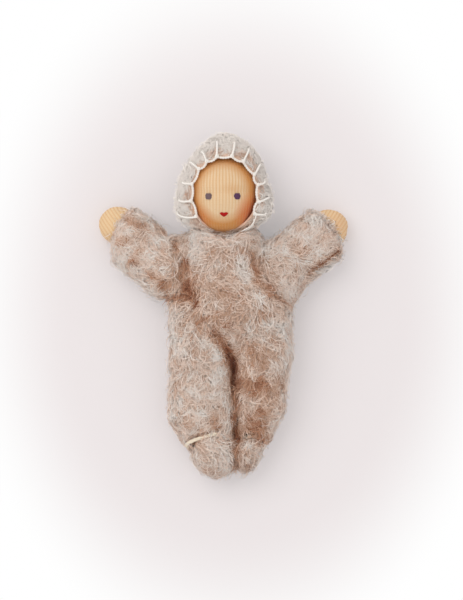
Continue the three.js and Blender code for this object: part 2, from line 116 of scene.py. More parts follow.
# Where the cloth of the trunk meets each sleeve: places up the body, and x there
ARM_SEAM = {
    "right": ((-3.0, 0.0, 1.5, 3.5, 12.5, 20.0, 24.0), (-26.0, -20.0, -16.5, -12.0, -13.2, -15.0, -14.0)),
    "left": ((-4.0, -1.0, 0.9, 2.6, 6.7, 14.8, 22.0), (26.0, 20.0, 16.2, 12.8, 8.6, 7.0, 7.5)),
}
HEAD_SIZE = np.array((11.0, 12.0, 11.2))  # half sizes
# Width of a wale and length of a course, of the face and of the hands
HEAD_WALE, HEAD_COURSE = 0.95, 0.7
HAND_WALE, HAND_COURSE = 0.93, 0.6
# Where the face is pale, red and golden: from the middle of the head, half sizes, and how red. Its golden
# brown towards the hood is partly blush and partly painted shade under the hood's edge, and the golden spot
# by the brow is painted shade of a dent.
FACE_MIDDLE = (0.1, -0.6, 8.0)
CHEEKS = (((-7.4, -8.6, 6.0), (5.2, 5.0, 20.0), 0.62), ((8.8, -7.4, 6.0), (6.0, 7.5, 20.0), 1.25))
BROW_SHADE = ((2.9, 0.4, 10.0), (4.2, 2.2, 20.0))
# Where the left hand is warmer: from its shoulder, and half sizes
WARM_HAND = ((17.0, 13.4, 4.0), (4.5, 5.5, 20.0))
EYES = {"right": (-4.1, 31), "left": (4.2, 32)}  # the middle across, and the start of the random draws
EYE_HEIGHT = -1.75  # from the middle of the head
MOUTH_HEIGHT = -6.9
MOUTH_ACROSS = 0.35
NECK_ENDS = (10.5, 18.4)  # from the middle of the head to each end of the neck
NECK_TIE = 14.2  # from the middle of the head to the thread round the neck
NECK_TILT = 10.0  # degrees that the neck leans down towards the table
HOOD_RADIUS = 12.9
HOOD_PEAK = 16.5  # from the middle of the head to the hood's top
HOOD_WALL = 0.75  # thickness
# Directions from the middle of the head in which the hood bulges or is dented, and by how much
HOOD_BULGES = (((-0.88, -0.46, 0.1), 2.3), ((0.9, -0.42, 0.1), 2.9), ((-0.62, 0.78, 0.1), -1.3))
BULGE_TURN = 0.42  # width of a bulge, as an angle
OPENING = (9.5, 10.9, 11.1)  # half width, height above and height below of the hood's opening, to its edging
# Degrees that the opening faces down towards the trunk, and towards the left sleeve
OPENING_TILT, OPENING_YAW = 8.0, 4.0
EDGE_DEPTH = 0.7  # of the opening's edge below the hood's outside
# The blanket stitch: degrees round the opening at which a stitch starts and ends, and its length
STITCHES = (
    (-33, -26, 3.4), (-12, -5, 4.3), (16, 18, 3.9), (34, 37, 5.0), (61, 60, 5.4), (80, 79, 4.7),
    (102, 98, 5.0), (119, 119, 4.2), (136, 138, 4.9), (163, 166, 4.2), (191, 189, 4.7), (218, 203, 6.2),
)
# Loose ends of the thread at the chin: degrees, and millimetres out from the edge, of the points along each
LOOSE_ENDS = (
    ((-33, 0.2), (-43, 1.0), (-52, 1.7), (-60, 1.3), (-67, 1.5)),
    ((-40, 0.3), (-48, 1.9), (-55, 2.6), (-61, 2.3)),
)
THREAD_TWIST = 1.5  # length in which the blanket stitch's two plies wind round each other once
CREASE_DEPTH = 0.9  # of the darkest crease
# Creases of the suit as drawn on its front: from x, y to x, y, with a width and how dark they are.
# The suit dips into them, and their pile is darkened as painted shade.
CREASES = (
    (-15.3, 19.5, -15.3, 14.5, 0.8, 0.35),
    (-12.8, 12.4, -12.6, 7.0, 1.4, 0.42),
    (-12.7, 7.0, -12.2, 3.0, 1.9, 0.62),
    (-18.5, 1.8, -12.6, 2.6, 1.2, 0.45),
    (-10.2, 2.0, -9.4, 0.6, 1.3, 0.5),
    (-11.2, -2.9, -8.0, -4.7, 1.9, 0.34),
    (-8.0, -4.7, -5.6, -7.6, 2.3, 0.42),
    (-5.6, -7.6, -1.4, -11.0, 2.0, 0.46),
    (-1.4, -11.0, 0.9, -15.4, 1.7, 0.6),
    (1.0, -15.2, 1.5, -19.0, 1.3, 0.95),
    (1.5, -18.5, 1.0, -22.5, 1.3, 0.88),
    (1.4, -22.0, 1.9, -28.0, 1.4, 0.62),
    (1.9, -28.0, 2.1, -35.0, 1.2, 0.48),
    (2.2, -34.6, 2.3, -38.4, 1.4, 0.85),
    (2.2, -38.4, 2.2, -47.0, 1.0, 0.42),
    (6.6, 14.4, 8.0, 9.5, 1.3, 0.5),
    (7.8, 10.0, 9.0, 6.6, 1.4, 0.5),
    (9.0, 6.6, 12.7, 3.2, 2.0, 0.28),
    (12.0, 3.8, 16.5, 0.6, 1.0, 0.34),
    (3.6, -22.8, 13.4, -24.2, 2.8, 0.3),
    (-6.0, -33.2, -3.5, -35.4, 1.5, 0.45),
    (4.8, -35.4, 8.0, -37.2, 1.6, 0.36),
    (7.4, -36.8, 12.0, -40.4, 1.0, 0.3),
    (22.5, 8.9, 31.6, 15.8, 0.5, 0.6),
    (-28.6, 25.0, -21.0, 23.0, 2.4, 0.2),
    (-24.0, 9.2, -18.6, 6.0, 1.8, 0.35),
    (-29.7, 18.4, -27.4, 16.0, 1.5, 0.22),
    (-28.6, 13.4, -26.0, 12.0, 1.4, 0.25),
    (9.0, -14.0, 9.0, -33.0, 6.0, 0.2),
    (-4.0, 4.0, 2.0, -6.0, 7.0, 0.15),
    (22.0, 17.0, 26.0, 19.5, 2.5, 0.16),
)
# How two piles differ: share of the pile's height and of its swirl, chance of a stray fibre, how much
# its pile is darkened as painted shade beside a neighbouring form, how far its shading leans towards the sky,
# and the height up to which it has strays
SUIT_PILE = {"high": 1.0, "swirl": 1.0, "strays": 0.08, "shade": 0.3, "up": 0.2, "strays_to": math.inf}
HOOD_PILE = {"high": 0.8, "swirl": 1.6, "strays": 0.12, "shade": 0.1, "up": 1.0, "strays_to": HEAD[2] + 5.0}
ROOT_DEPTH = 0.3  # of a fibre in its cloth
TAPER = ((0.0, 0.2, 0.4, 0.6, 0.8, 1.0), (1.0, 1.0, 0.9, 0.75, 0.5, 0.1))  # places along a fibre, and widths
TONES = 48  # columns of tone in a fibre's map


def srgb(red, green, blue):
    """A colour of 0 to 255 per channel as Blender's linear red, green and blue."""
    value = np.array((red, green, blue)) / 255.0
    linear = np.where(value <= 0.04045, value / 12.92, ((value + 0.055) / 1.055) ** 2.4)
    return tuple(float(channel) for channel in linear)


def tint(name, description, *colour):
    """A colour property with its default."""
    return FloatVectorProperty(
        name=name, description=description, subtype="COLOR", size=3, min=0, max=1, default=srgb(*colour)
    )


def length(name, description, millimetres):
    """A length property with its default, in metres."""
    return FloatProperty(name=name, description=description, default=millimetres * MM, unit="LENGTH", min=0)


def angle(name, description, default):
    """An angle property with its default, in radians."""
    return FloatProperty(name=name, description=description, default=default, subtype="ANGLE")


class DollPile(bpy.types.PropertyGroup):
    """The suit's long pile."""

    fibre: length("Fibre length", "Mean length of a fibre of the suit's pile", 4.6)
    thickness: length("Fibre thickness", "Width of a fibre, or of a few that cling, at its root", 0.19)
    height: length("Pile height", "How far the matted pile stands off its backing", 1.1)
    hood_fibre: length("Hood's fibre length", "Mean length of a fibre of the hood's shorter pile", 3.0)
    lumps: length("Lumps", "How far the stuffing bulges the cloth", 0.55)
    curl: angle("Curl", "Most that a fibre turns along its length", 1.9)
    swirl: angle("Swirl", "Most that the pile's lie turns about", 1.7)
    seed: IntProperty(name="Seed", description="Start of the random draws", default=7, min=0)


class DollColours(bpy.types.PropertyGroup):
    """The colours of cloth, thread and wool."""

    white: tint("White fibre", "The palest fibres of the pile", 255, 246, 238)
    cream: tint("Cream fibre", "Most of the pile", 248, 221, 203)
    beige: tint("Beige fibre", "The darker patches of the pile", 212, 167, 138)
    # Brown and deep brown: the tones that painted shade gives the pile in creases
    brown: tint("Brown fibre", "The pile in the creases", 178, 118, 86)
    umber: tint("Deep brown", "The pile in the deepest creases", 112, 58, 32)
    backing: tint("Backing", "Knitted backing under the pile", 214, 184, 162)
    jersey: tint("Jersey", "Skin jersey, full in the light", 230, 203, 166)
    # The rim colour stands partly for blush and partly for painted shade under the hood's edge
    rim: tint("Jersey's rim", "Skin jersey towards the hood", 207, 138, 66)
    blush: tint("Blush", "Rubbed-in red of the cheeks", 212, 92, 48)
    hand: tint("Hand jersey", "Skin jersey of the hands", 236, 208, 168)
    thread: tint("White thread", "Cotton of the blanket stitch and the ties", 250, 245, 238)
    yarn: tint("Ankle yarn", "Yarn round the ankles", 244, 230, 208)
    # Both eyes are one violet wool: the right eye's paler, greyer colour is painted light, the left eye's
    # darker one painted shade
    eye: tint("Right eye", "Grey violet wool of the right eye", 122, 101, 104)
    shaded_eye: tint("Left eye", "Violet wool of the left eye", 97, 64, 92)
    mouth: tint("Mouth", "Red wool of the mouth", 176, 24, 22)
    wool: tint("Stuffing", "Carded wool inside", 240, 232, 218)


class DollStage(bpy.types.PropertyGroup):
    """The table, the lamps and the camera."""

    floor: tint("Table", "Pale table under the doll", 228, 220, 221)
    distance: length("Camera distance", "From the middle of the doll up to the camera", 1400.0)
    key: FloatProperty(name="Key lamp", description="Watts of the soft lamp at the upper left", default=1.45)
    fill: FloatProperty(name="Sky", description="Strength of the even light from all round", default=0.86)


def unit(vectors):
    """Vectors at a length of 1."""
    return vectors / np.maximum(np.linalg.norm(vectors, axis=-1, keepdims=True), 1e-9)


def flattened(vectors, normal):
    """Vectors without their part along a normal, at a length of 1."""
    return unit(vectors - (vectors * normal).sum(-1, keepdims=True) * normal)


def bell(distance, width):
    """A bell curve of a distance: 1 at 0, and e^-1 at the width."""
    return np.exp(-((distance / width) ** 2))


def eased(places, values, at):
    """Values between stations: linear interpolation of a share that is eased by 3t^2 - 2t^3."""
    places, values = np.asarray(places), np.asarray(values)
    upper = np.clip(np.searchsorted(places, at), 1, len(places) - 1)
    part = np.clip((at - places[upper - 1]) / (places[upper] - places[upper - 1]), 0, 1)
    return values[upper - 1] + (values[upper] - values[upper - 1]) * part * part * (3 - 2 * part)


def lattice_noise(seed):
    """Smooth noise from -1 to 1: a random value on each point of a cube of cells that repeats, joined by
    eased trilinear interpolation. The result is a function of points and the size of a cell."""
    cells = 24
    table = np.random.default_rng(seed).uniform(-1, 1, (cells, cells, cells))

    def noise(points, cell):
        at = points / cell + 100.0
        whole = np.floor(at).astype(int)
        part = at - whole
        part = part * part * (3 - 2 * part)
        low, high = whole % cells, (whole + 1) % cells
        total = 0.0
        for corner in range(8):
            picked = [high[..., k] if corner >> k & 1 else low[..., k] for k in range(3)]
            share = [part[..., k] if corner >> k & 1 else 1 - part[..., k] for k in range(3)]
            total = total + table[picked[0], picked[1], picked[2]] * share[0] * share[1] * share[2]
        return total

    return noise


LUMPS = lattice_noise(3)
PATCHES = lattice_noise(5)
LIE = lattice_noise(11)


def smooth_least(a, b, soft):
    """The lesser of two distances, rounded over a width where they cross."""
    share = np.clip(0.5 + 0.5 * (b - a) / soft, 0, 1)
    return b + (a - b) * share - soft * share * (1 - share)


def smooth_most(a, b, soft):
    """The greater of two distances, rounded over a width where they cross."""
    return -smooth_least(-a, -b, soft)


def stuffed(points, stations, ends, origin=(0.0, 0.0), turn=0.0):
    """About how far points lie outside a stuffed form. Its section at a place y is the superellipse
    (|x - side| / half width)^p + (|z - middle| / half depth)^p = 1, and it ends in quarter ellipses."""
    at, side, wide, deep = (np.array(column) for column in zip(*stations))
    turn = math.radians(turn)
    x, y = points[..., 0] - origin[0], points[..., 1] - origin[1]
    x, y = x * math.cos(turn) + y * math.sin(turn), y * math.cos(turn) - x * math.sin(turn)
    half_wide, half_deep = eased(at, wide, y) / 2, eased(at, deep, y) / 2
    across = np.abs(x - eased(at, side, y)) / half_wide
    up = np.abs(points[..., 2] - half_deep + PRESSED) / half_deep
    start = np.clip(1 - (y - at[0]) / ends[0], 0, None)
    end = np.clip(1 - (at[-1] - y) / ends[1], 0, None)
    section = (across**POWER + up**POWER) ** (2 / POWER)
    return (np.sqrt(section + start**2 + end**2) - 1) * np.minimum(half_wide, half_deep)


def barrel(points, middle, radius, half, axis):
    """About how far points lie outside a barrel: a round superellipse about an axis of the frame."""
    from_middle = points - middle
    along = np.abs(from_middle[..., axis])
    out = np.sqrt(np.maximum((from_middle**2).sum(-1) - along**2, 0))
    return (((out / radius) ** POWER + (along / half) ** POWER) ** (1 / POWER) - 1) * radius


def creased(points):
    """From 0 to 1, how deep in a crease of the front points lie: the most of a bell curve round each line.
    It sets how far the suit dips there and how much painted shade darkens its pile.
    """
    flat = points[..., :2]
    deep = np.zeros(points.shape[:-1])
    for x0, y0, x1, y1, width, dark in CREASES:
        start, run = np.array((x0, y0)), np.array((x1 - x0, y1 - y0))
        part = np.clip((flat - start) @ run / (run @ run), 0, 1)
        far = np.linalg.norm(flat - start - part[..., None] * run, axis=-1)
        deep = np.maximum(deep, dark * bell(far, width))
    return deep * np.clip((points[..., 2] - 4.0) / 5.0, 0, 1)


def past_ball(points):
    """How far points lie outside the ball of the hood."""
    return np.linalg.norm(points - HEAD, axis=-1) - HOOD_RADIUS


def trunk_form(points):
    """The trunk: a stuffed form, with the hollow for the head."""
    return smooth_most(stuffed(points, TRUNK, TRUNK_ENDS), 0.2 - past_ball(points), 1.0)


def arm_form(side, stations, ends):
    """A stuffed form along an arm, as a function of points."""
    origin = JOINTS[f"{side}_shoulder"][:2]
    own = tuple((at, -SIDES[side] * across, wide, deep) for at, across, wide, deep in stations)
    return lambda points: stuffed(points, own, ends, origin, SLEEVE_TURN[side])


def sleeve_form(side):
    """A sleeve with its round shoulder, as a function of points."""
    shoulder = JOINTS[f"{side}_shoulder"]
    sleeve = arm_form(side, SLEEVE[side], SLEEVE_ENDS)
    return lambda points: smooth_least(sleeve(points), barrel(points, shoulder, *SHOULDER_BARREL, 1), 1.5)


def leg_middle(side, wide):
    """How far across from the hip a leg's middle lies, at a width: its inner side runs straight."""
    return -SIDES[side] * (LEG_WIDE[side][-1] - wide) / 2


def leg_form(side):
    """A leg with its foot and its round hip, as a function of points."""
    hip = JOINTS[f"{side}_hip"]
    wide = np.array(LEG_WIDE[side])
    stations = tuple(zip(LEG_AT[side], leg_middle(side, wide), wide, LEG_DEEP))

    def form(points):
        leg = stuffed(points, stations, LEG_ENDS, hip[:2])
        return smooth_least(leg, barrel(points, hip, HIP_BARREL, wide[-1] / 2, 0), 1.5)

    return form


def ankle_plane(side, points):
    """How far points lie above the plane of a leg's ankle seam."""
    hip = JOINTS[f"{side}_hip"]
    tilt = math.radians(ANKLE_TILT[side])
    across = hip[0] + leg_middle(side, LEG_WIDE[side][2])
    middle = np.array((across, hip[1] + ANKLE_AT - BINDING - ANKLE_DROP[side], LEG_HEIGHT))
    return (points - middle) @ np.array((-math.sin(tilt), math.cos(tilt), -ANKLE_LEAN))


def off_yarn(points):
    """Where points lie off the right ankle's yarn, as far as it shows."""
    least, most, low = YARN_SHOWS
    shows = (points[..., 0] > least) & (points[..., 0] < most) & (points[..., 2] > low)
    return (np.abs(ankle_plane("right", points) - 0.1) > 0.2) | ~shows


def past_arm_seam(side, points):
    """How far points lie past the seam of a sleeve, towards the hand."""
    return SIDES[side] * (points[..., 0] - np.interp(points[..., 1], *ARM_SEAM[side]))


def suit_form(*parts):
    """The suit's outside round the named parts, which flow into each other, with its creases. A sleeve is
    named with the trunk, and a leg with the other leg."""
    sleeves = [sleeve_form(side) for side in SIDES if f"{side}_sleeve" in parts]
    legs = [leg_form(side) for side in SIDES if f"{side}_leg" in parts]

    def form(points):
        whole = trunk_form(points) if "trunk" in parts else None
        for sleeve in sleeves:
            whole = smooth_least(whole, sleeve(points), 3.2)
        if legs:
            both = smooth_least(legs[0](points), legs[1](points), 6.0)
            whole = both if whole is None else smooth_least(whole, both, 5.0)
        return whole + CREASE_DEPTH * creased(points)

    return form


def cut(form, *regions):
    """A form cut by regions, each a function that is below 0 inside."""

    def within(points):
        whole = form(points)
        for region in regions:
            whole = smooth_most(whole, region(points), 0.1)
        return whole

    return within


def trunk_region(points):
    """Below 0 in the trunk: between the sleeves' seams and above the legs."""
    past = [past_arm_seam(side, points) for side in SIDES]
    return np.maximum(np.maximum(*past), HIP_LINE - points[..., 1])


def sleeve_region(side):
    """Below 0 past a sleeve's seam, which it laps under by a little."""
    return lambda points: -LAP - past_arm_seam(side, points)


def leg_region(side):
    """Below 0 below the trunk, which it laps under by a little, and on a leg's own side."""
    return lambda points: np.maximum(
        points[..., 1] - HIP_LINE - LAP, SIDES[side] * (LEG_SPLIT - points[..., 0]) + 0.04
    )


def lumps():
    """How far the stuffing bulges the cloth, as a function of points."""
    size = bpy.context.scene.doll_pile.lumps / MM
    return lambda points: size * (0.7 * LUMPS(points, 6.5) + 0.3 * LUMPS(points + 40.0, 3.0))


def drawn_in(form, inset):
    """A form drawn in by an inset and bulged by its stuffing."""
    bulge = lumps()
    return lambda points: form(points) + inset - bulge(points)


def slope(field, points, step=0.15):
    """Unit directions in which a field grows fastest, from differences along each axis."""
    here = field(points)
    return unit(np.stack([field(points + step * axis) - here for axis in np.eye(3)], -1))


def wrapped(field, start, end, rings, sides):
    """A closed skin where a field is zero. From a straight spine, rays go out square to it along its length
    and in a quarter turn of directions at either end. Each stops at the outermost place where the field
    changes sign, which is found in even steps and then by halving."""
    reach, halvings = 26.0, 9
    start, end = np.array(start, float), np.array(end, float)
    along = unit(end - start)
    first = unit(np.cross(along, UP))
    second = np.cross(along, first)
    cap = max(rings // 5, 5)
    polar = np.concatenate([np.linspace(-90, 0, cap), np.zeros(rings - 2 * cap), np.linspace(0, 90, cap)])
    part = np.concatenate([np.zeros(cap), np.linspace(0, 1, rings - 2 * cap + 2)[1:-1], np.ones(cap)])
    polar, turn = np.radians(polar)[:, None], (np.arange(sides) / sides * 2 * np.pi)[None]
    round_it = np.cos(turn)[..., None] * first + np.sin(turn)[..., None] * second
    rays = np.cos(polar)[..., None] * round_it + np.sin(polar)[..., None] * along
    middles = (start + part[:, None] * (end - start))[:, None] + 0 * rays
    steps = np.linspace(0, reach, 53)
    inside = np.stack([field(middles + rays * far) < 0 for far in steps])
    last = len(steps) - 1 - np.argmax(inside[::-1], axis=0)
    low = steps[np.where(inside.any(0), last, 0)]
    high = low + steps[1]
    for _ in range(halvings):
        half = (low + high) / 2
        within = field(middles + rays * half[..., None]) < 0
        low, high = np.where(within, half, low), np.where(within, high, half)
    points = middles + rays * low[..., None]
    body = points[1:-1].reshape(-1, 3)
    return np.concatenate([points[:1, 0], body, points[-1:, 0]]), closed_grid(rings - 2, sides)


def closed_grid(rings, sides):
    """Faces of rings of points with a single point before the first ring and one after the last."""
    place = 1 + np.arange(rings * sides).reshape(rings, sides)
    beside = np.roll(place, -1, axis=1)
    quads = np.stack([place[:-1], place[1:], beside[1:], beside[:-1]], -1).reshape(-1, 4)
    first = np.stack([np.zeros(sides, int), place[0], beside[0]], -1)
    last = np.stack([np.full(sides, rings * sides + 1), beside[-1], place[-1]], -1)
    return [quads, first, last]


def triangles(faces):
    """Faces of three and four corners as triangles only."""
    parts = [f if f.shape[1] == 3 else np.concatenate([f[:, (0, 1, 2)], f[:, (0, 2, 3)]]) for f in faces]
    return np.concatenate(parts)


def outwards(points, faces):
    """The faces turned so that they enclose a positive volume."""
    a, b, c = (points[triangles(faces)[:, k]] for k in range(3))
    inside_out = np.einsum("ij,ij->i", a, np.cross(b, c)).sum() < 0
    return [f[:, ::-1] for f in faces] if inside_out else faces


def made(name, points, faces, kind, body, stands_for=None, fill=None, maps=(), turn_out=True, normals=None):
    """A piece of points in millimetres and faces, with the material of its kind. It rides on the body named,
    or where two bodies are named with a start and an end, it is baked where it lies and rides on neither.
    It may stand for a CAD node. Its fill is not used."""
    if turn_out:
        faces = outwards(points, faces)
    corners = np.concatenate([f.ravel() for f in faces])
    counts = np.concatenate([np.full(len(f), f.shape[1]) for f in faces])
    mesh = bpy.data.meshes.new(name)
    mesh.vertices.add(len(points))
    mesh.vertices.foreach_set("co", (points * MM).astype(np.float32).ravel())
    mesh.loops.add(len(corners))
    mesh.loops.foreach_set("vertex_index", corners.astype(np.int32))
    mesh.polygons.add(len(counts))
    mesh.polygons.foreach_set("loop_start", (np.cumsum(counts) - counts).astype(np.int32))
    mesh.polygons.foreach_set("use_smooth", np.ones(len(counts), bool))
    for title, places in maps:
        layer = mesh.uv_layers.new(name=title)
        layer.data.foreach_set("uv", places[corners].astype(np.float32).ravel())
    mesh.update(calc_edges=True)
    if mesh.validate():
        raise RuntimeError(f"{name} had faulty faces")
    if normals is not None:
        mesh.normals_split_custom_set_from_vertices(normals.astype(np.float32))
    mesh.materials.append(material(kind))
    piece = bpy.data.objects.new(name, mesh)
    bpy.context.scene.collection.objects.link(piece)
    if isinstance(body, str):
        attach(piece, body)
    else:
        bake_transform(piece)
    if stands_for is not None:
        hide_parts(stands_for)


def above_table(points, least=0.0):
    """Points kept from sinking under the table."""
    points = points.copy()
    points[..., 2] = np.maximum(points[..., 2], least)
    return points


def skin(name, form, inset, spine, grid, body, stands_for, fill=None, kind="backing"):
    """A wrapped skin as a piece that stands for a CAD node. Returns its points and faces."""
    points, faces = wrapped(drawn_in(form, inset), *spine, *grid)
    points = above_table(points, LIFT)
    made(name, points, faces, kind, body, stands_for, fill)
    return points, faces


def scattered(points, faces, count, random):
    """Random places on a skin, evenly over its area."""
    corners = triangles(faces)
    a, b, c = (points[corners[:, k]] for k in range(3))
    area = np.linalg.norm(np.cross(b - a, c - a), axis=1)
    chosen = random.choice(len(corners), count, p=area / area.sum())
    r, s = np.sqrt(random.random(count)), random.random(count)
    return (1 - r)[:, None] * a[chosen] + (r * (1 - s))[:, None] * b[chosen] + (r * s)[:, None] * c[chosen]


def fibres(paths, radii, tones, random):
    """Three-sided tapered fibres along paths of points, closed at the root and drawn to a point at the tip.
    Returns points, faces, a map in which each fibre fills a column for its tone from root to tip, the number
    of points of a fibre, and each point's offset from its fibre's path in radii."""
    count, steps = paths.shape[:2]
    along = unit(np.gradient(paths, axis=1))
    aside = unit(np.cross(along, random.normal(size=(count, 1, 3))))
    other = np.cross(along, aside)
    rings = []
    for k in range(3):
        turn = 2 * math.pi * k / 3
        rings.append(paths + radii[..., None] * (math.cos(turn) * aside + math.sin(turn) * other))
    body = np.stack(rings, 2)[:, :-1]
    points = np.concatenate([body.reshape(count, -1, 3), paths[:, -1:]], 1)
    own = 3 * (steps - 1) + 1
    template = []
    for ring in range(steps - 2):
        for k in range(3):
            a, b = 3 * ring + k, 3 * ring + (k + 1) % 3
            template += [(a, b, b + 3), (a, b + 3, a + 3)]
    template += [(own - 4 + k, own - 4 + (k + 1) % 3, own - 1) for k in range(3)] + [(2, 1, 0)]
    faces = (np.array(template)[None] + own * np.arange(count)[:, None, None]).reshape(-1, 3)
    column = np.clip((tones * TONES).astype(int), 0, TONES - 1)
    u = (column[:, None] + np.append(np.tile((0.2, 0.5, 0.8), steps - 1), 0.5)[None]) / TONES
    v = np.tile(0.02 + 0.96 * (np.arange(own) // 3 / (steps - 1)), (count, 1))
    places = np.stack([u, v], -1).reshape(-1, 2)
    radial = points - np.append(np.repeat(paths[:, :-1], 3, 1), paths[:, -2:-1], 1)
    radial = radial.reshape(-1, 3) / np.repeat(radii.max(1), own)[:, None]
    return points.reshape(-1, 3), [faces], places, own, radial


def valley(points, others, width):
    """From 0 to 1, how near points lie to the skin of another form."""
    return np.max([bell(other(points), width) for other in others] or np.zeros((1, len(points))), axis=0)


def rooted(cloth, count, draws, field, near, others, keep, random):
    """Roots for a number of fibres, out of several draws for each: on a cloth, near the skin of a field, not
    deep in other forms, and where they are to be kept."""
    roots = scattered(*cloth, draws * count, random)
    free = np.abs(field(roots)) < near
    for other in others:
        free &= other(roots) > -0.7
    if keep is not None:
        free &= keep(roots)
    return roots[free][:count]


def toned(middle, layer, dark, others, look, pale, random):
    """Tones of fibres, where 0 is the darkest and 1 the palest: patches of two sizes and a scatter, paler for
    the upper fibres, and darker in creases and beside other forms as painted shade."""
    tones = 0.72 + 0.2 * PATCHES(middle, 3.2) + 0.24 * PATCHES(middle + 70.0, 1.4)
    tones += random.normal(0, 0.08, len(middle)) + 0.1 * (layer - 0.5)
    tones -= look["shade"] * valley(middle, others, 0.9) + 0.78 * dark
    return tones + (pale(middle) if callable(pale) else pale)


def pile(
    name, form, cloth, count, comb, body, others=(), look=SUIT_PILE, keep=None, pale=0.0, near=0.9,
    clear=None, steps=6, draws=6,
):
    """The pile on a skin: fibres from random roots, each stepping along the cloth in the lie of the pile
    there, turning as it goes, and held at its own height over the backing by a step along the field's slope.
    A fibre that leaves the places that are clear is laid again as much shorter."""
    sizes = bpy.context.scene.doll_pile
    random = np.random.default_rng(sizes.seed + sum(map(ord, name)))
    long = (sizes.hood_fibre if look is HOOD_PILE else sizes.fibre) / MM
    high = sizes.height / MM * look["high"]
    field = drawn_in(form, high)
    roots = rooted(cloth, count, draws, field, near, others, keep, random)
    count = len(roots)
    normal = slope(field, roots)
    lie = flattened(comb(roots), normal)
    swirl = sizes.swirl * (LIE(roots, 6.0) + 0.6 * LIE(roots + 60.0, 2.0)) + random.normal(0, 0.45, count)
    swirl = (look["swirl"] * swirl)[:, None]
    way = np.cos(swirl) * lie + np.sin(swirl) * np.cross(normal, lie)
    own_long = long * random.uniform(0.5, 1.5, count)
    layer = random.random(count)
    stray = (random.random(count) < look["strays"]) & (roots[:, 2] < look["strays_to"])
    top = high * (0.1 + 1.05 * layer) + stray * random.uniform(0.3, 1.0, count)
    first_turn = sizes.curl / steps * random.normal(0, 0.6, count)
    turns, wobble = random.normal(0, 0.12, (steps, count)), random.uniform(0.85, 1.15, (steps, count))

    def laid(own_long):
        here, out, heading, turning = roots, normal, way, first_turn
        path = [roots - ROOT_DEPTH * normal]
        for k in range(1, steps):
            turning = turning + turns[k]
            aside = np.cross(out, heading)
            heading = flattened(np.cos(turning)[:, None] * heading + np.sin(turning)[:, None] * aside, out)
            here = here + heading * (own_long / (steps - 1))[:, None]
            out = slope(field, here)
            height = top * math.sin(math.pi * min(0.72 * k / (steps - 1) + 0.05, 1.0)) * wobble[k]
            here = here + (height - field(here))[:, None] * out
            path.append(here)
        return above_table(np.stack(path, 1), FLOOR_GAP)

    paths = laid(own_long)
    kept = np.ones(count, bool)
    if clear is not None:
        room = np.cumprod(clear(paths), axis=1).sum(1)
        paths = laid(own_long * np.maximum(room - 1, 0) / (steps - 1))
        kept = (room > 1) & clear(paths).all(1)
    widths = np.interp(np.linspace(0, 1, steps), *TAPER)
    radii = sizes.thickness / MM / 2 * random.uniform(0.6, 1.2, count)[:, None] * widths
    middle = paths[:, steps // 2]
    # Painted shade: fibres in creases get darker tones
    dark = creased(middle)
    tones = toned(middle, layer, dark, others, look, pale, random)
    tones = np.where(stray & (dark < 0.12), np.maximum(tones, 0.75), tones)
    paths, radii, tones, middle = paths[kept], radii[kept], tones[kept], middle[kept]
    points, faces, places, own, radial = fibres(paths, radii, np.clip(tones, 0.0, 0.999), random)
    facing = unit(0.75 * np.repeat(slope(field, middle), own, 0) + 0.42 * radial + look["up"] * UP)
    maps = [("fibre", places), ("OFBake", places)]
    made(name, points, faces, "pile", body, maps=maps, turn_out=False, normals=facing)


def one_side(sign, height, own):
    """Which points lie on one side of a height, and in a form's own region where that is given."""

    def keep(points):
        on_side = sign * (points[:, 2] - height) > 0
        return on_side if own is None else on_side & own(points)

    return keep


def both_piles(
    name, form, cloth, counts, comb, body, others=(), own=None, height=FRONT_HEIGHT, steps=(6, 5), **rest
):
    """The pile of a skin as two pieces, which meet at a height: the front with finer steps than the back."""
    for part, sign, count, own_steps in zip(("front", "back"), (1, -1), counts, steps):
        keep = one_side(sign, height, own)
        pile(f"{name}_{part}", form, cloth, count, comb, body, others, keep=keep, steps=own_steps, **rest)


def tube(path, radius, sides=8, closed=False, plies=1, twist=THREAD_TWIST):
    """A thread along a path of points. Each ring lies across the path, and each ply is a thinner tube that
    winds round the path once in the length of the twist."""
    path = np.asarray(path, float)
    along = unit(np.roll(path, -1, 0) - np.roll(path, 1, 0) if closed else np.gradient(path, axis=0))
    gone = np.concatenate([[0.0], np.cumsum(np.linalg.norm(np.diff(path, axis=0), axis=1))])
    aside = unit(np.cross(along, (0.31, 0.22, 0.92)))
    other = np.cross(along, aside)
    turn = 2 * math.pi * np.arange(sides) / sides
    around = np.cos(turn)[None, :, None] * aside[:, None] + np.sin(turn)[None, :, None] * other[:, None]
    own, off = (radius, 0.0) if plies == 1 else (0.58 * radius, 0.46 * radius)
    ends = np.ones(len(path))
    if not closed:
        ends = np.clip(np.minimum(gone, gone[-1] - gone) / own, 0, 1)
        ends = np.sqrt(np.clip(1 - (1 - ends) ** 2, 0.02, 1))
    shells = []
    for ply in range(plies):
        phase = 2 * math.pi * (gone / twist + ply / plies)
        middle = path + off * (np.cos(phase)[:, None] * aside + np.sin(phase)[:, None] * other)
        rings = middle[:, None] + own * ends[:, None, None] * around
        if closed:
            place = np.arange(len(path) * sides).reshape(-1, sides)
            beside = np.roll(place, -1, 1)
            corners = (place, np.roll(place, -1, 0), np.roll(beside, -1, 0), beside)
            points, faces = rings.reshape(-1, 3), [np.stack(corners, -1).reshape(-1, 4)]
        else:
            points = np.concatenate([middle[:1], rings.reshape(-1, 3), middle[-1:]])
            faces = closed_grid(len(path), sides)
        shells.append((points, outwards(points, faces)))
    return joined(shells)


def joined(shells):
    """Several shells of points and faces as one."""
    points, faces, first = [], [], 0
    for own_points, own_faces in shells:
        points.append(own_points)
        faces += [f + first for f in own_faces]
        first += len(own_points)
    return np.concatenate(points), faces


def threads(name, shells, kind, body, stands_for):
    """Threads whose shells already face outwards, as one piece."""
    made(name, *joined(shells), kind, body, stands_for, turn_out=False)


